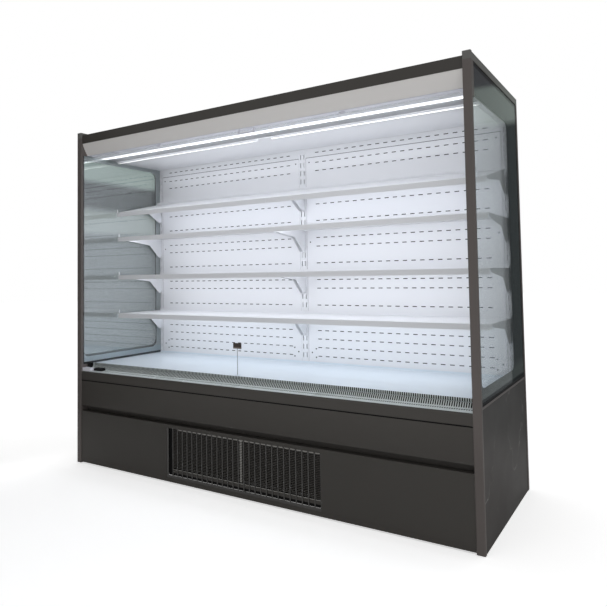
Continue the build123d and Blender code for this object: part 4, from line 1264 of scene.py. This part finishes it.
@dataclass
class Studio:
    """Pale floor and surround, soft light, the fridge's own lamps, cards for the glass, and the camera."""

    camera_at: tuple[float, float, float] = (1.919218, -2.830487, 1.135278)
    camera_turn: tuple[float, float, float] = (92.629656, 0.992222, 31.721467)
    lens: float = 35.0808
    sensor: float = 36.0
    shift: tuple[float, float] = (-0.00318, -0.09319)
    sky: float = 0.62
    surround_radius: float = 28.0
    surround_foot: float = -0.5
    surround_steps: int = 10
    surround_sides: int = 48
    shelf_levels: int = 4
    shelf_light_off_mm: tuple[float, float] = (12.0, -4.0)
    shelf_light_turn: float = 55.0
    shelf_light_size: tuple[float, float] = (2.38, 0.012)
    shelf_watts: float = 2.8
    lights: tuple[SoftLight, ...] = (
        SoftLight("canopy_light", (0.0, -0.27, 1.895), 45.0, (2.3, 0.09), 4.2),
        SoftLight("ceiling_light", (0.0, 0.02, 1.76), 180.0, (2.3, 0.42), 0.8),
        SoftLight("front_fill", (0.1, -1.0, 0.35), 180.0, (2.4, 0.5), 4.5))
    right_bands: Bands = ((2.11, 2.16, (0.42, 0.48, 0.45)), (2.38, 2.42, (0.15, 0.15, 0.16)))
    left_bands: Bands = ((1.48, 1.54, (0.29, 0.31, 0.31)), (1.68, 1.74, (0.018, 0.020, 0.022)),
                         (1.92, 1.97, (0.29, 0.34, 0.32)))

    def build(self) -> None:
        """Put up the surround, the floor, the lights, the cards and the camera."""
        self.make_surround()
        self.make_floor()
        self.make_light()
        self.make_cards()
        self.make_camera()

    def make_surround(self) -> None:
        """A white dome behind everything, for the camera alone: a quarter circle turned, on a short skirt."""
        angle = np.linspace(0, np.pi / 2, self.surround_steps)
        arc = self.surround_radius * np.stack([np.cos(angle), np.sin(angle)], 1)
        profile = np.concatenate([[(self.surround_radius, self.surround_foot)], arc])
        put_up("surround", turned(profile, (0, 0, 0), (0, 0, 1), self.surround_sides),
               glow("surround_white", (1.0, 1.0, 1.0)), (Ray.CAMERA,))

    def make_floor(self) -> None:
        """A pale floor for the camera, and one just below it that throws light back up."""
        r = self.surround_radius
        for name, grey, own_light, z, seen_by in (
                ("floor", 0.90, 0.56, 0.0, (Ray.CAMERA,)),
                ("floor_bounce", 0.85, 0.0, -0.001, (Ray.DIFFUSE, Ray.GLOSSY, Ray.TRANSMISSION))):
            material = studio_material(name, {
                "Base Color": (grey, grey, grey, 1.0), "Roughness": 0.8, "Specular IOR Level": 0.1,
                "Emission Color": (1.0, 1.0, 1.0, 1.0), "Emission Strength": own_light})
            corners = np.array([(-r, -r, z), (r, -r, z), (r, r, z), (-r, r, z)])
            put_up(name, (corners, ONE_FACE), material, seen_by)

    def make_light(self) -> None:
        """An even sky, the canopy's light, the fill, and the light strip under each shelf."""
        scene = bpy.context.scene
        scene.world = bpy.data.worlds.new("studio_sky")
        scene.world.use_nodes = True
        background = scene.world.node_tree.nodes["Background"]
        set_inputs(background, {"Color": (1.0, 1.0, 1.0, 1.0), "Strength": self.sky})
        scene.view_settings.view_transform = "Standard"
        for light in self.lights:
            light.hang()
        behind, below = mm(self.shelf_light_off_mm)
        for level in range(1, self.shelf_levels + 1):
            _, y, z = spans(f"shelf_{level}_lights")
            SoftLight(f"shelf_light_{level}", (0.0, y[1] + behind, z[0] + below), self.shelf_light_turn,
                      self.shelf_light_size, self.shelf_watts).hang()

    def make_cards(self) -> None:
        """Cards seen through the left end, mirrored in the right end, and shading the left of the front."""
        mirrored = (Ray.GLOSSY, Ray.TRANSMISSION)
        for card in (
                Card("flag_left", (-2.2, -3.0), (-2.2, 3.5), (Ray.TRANSMISSION,), (0.135, 0.145, 0.155),
                     self.left_bands),
                Card("flag_right_near", (1.27, 1.3), (1.505, 1.271), mirrored, (0.08, 0.09, 0.092),
                     self.right_bands),
                Card("flag_right_far", (1.505, 1.271), (4.5, 0.9), mirrored, (0.26, 0.28, 0.29),
                     self.right_bands),
                Card("flag_front", (-1.62, -3.2), (-1.45, -0.5), (Ray.DIFFUSE, Ray.GLOSSY, Ray.SHADOW),
                     heights=(0.25, 2.2))):
            card.stand()

    def make_camera(self) -> None:
        """The camera at the photograph's viewing angle."""
        data = bpy.data.cameras.new("photo_camera")
        data.lens = self.lens
        data.sensor_width = self.sensor
        data.shift_x, data.shift_y = self.shift
        camera = bpy.data.objects.new("photo_camera", data)
        camera.location = self.camera_at
        camera.rotation_euler = Euler([math.radians(angle) for angle in self.camera_turn], "XYZ")
        bpy.context.scene.collection.objects.link(camera)
        bpy.context.scene.camera = camera


def plain(bounds: object) -> object:
    """The same bounds as plain lists of numbers.

    Args:
        bounds: numbers, however nested.

    Returns:
        Lists and dictionaries of the same shape.
    """
    if isinstance(bounds, dict):
        return {key: plain(value) for key, value in bounds.items()}
    if hasattr(bounds, "__len__") and not isinstance(bounds, str):
        return [plain(value) for value in bounds]
    return float(bounds)


def main() -> None:
    """Dress the frame, build each sub-assembly and set up the studio."""
    logging.basicConfig(level=logging.INFO, format="%(name)s: %(message)s")
    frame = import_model()
    cad_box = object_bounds()
    finishes = Finishes()
    finishes.dress(frame)
    for assembly in (BackWall(finishes), AirReturn(finishes), MachineFront(finishes), Canopy(finishes),
                     EndGlazing(finishes), Shelving(finishes), NightBlind(finishes), CondensingUnit(finishes),
                     Studio()):
        assembly.build()
        log.info("%s built", type(assembly).__name__)
    {"cad": plain(cad_box), "visual": plain(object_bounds())}


if __name__ == "__main__":
    main()
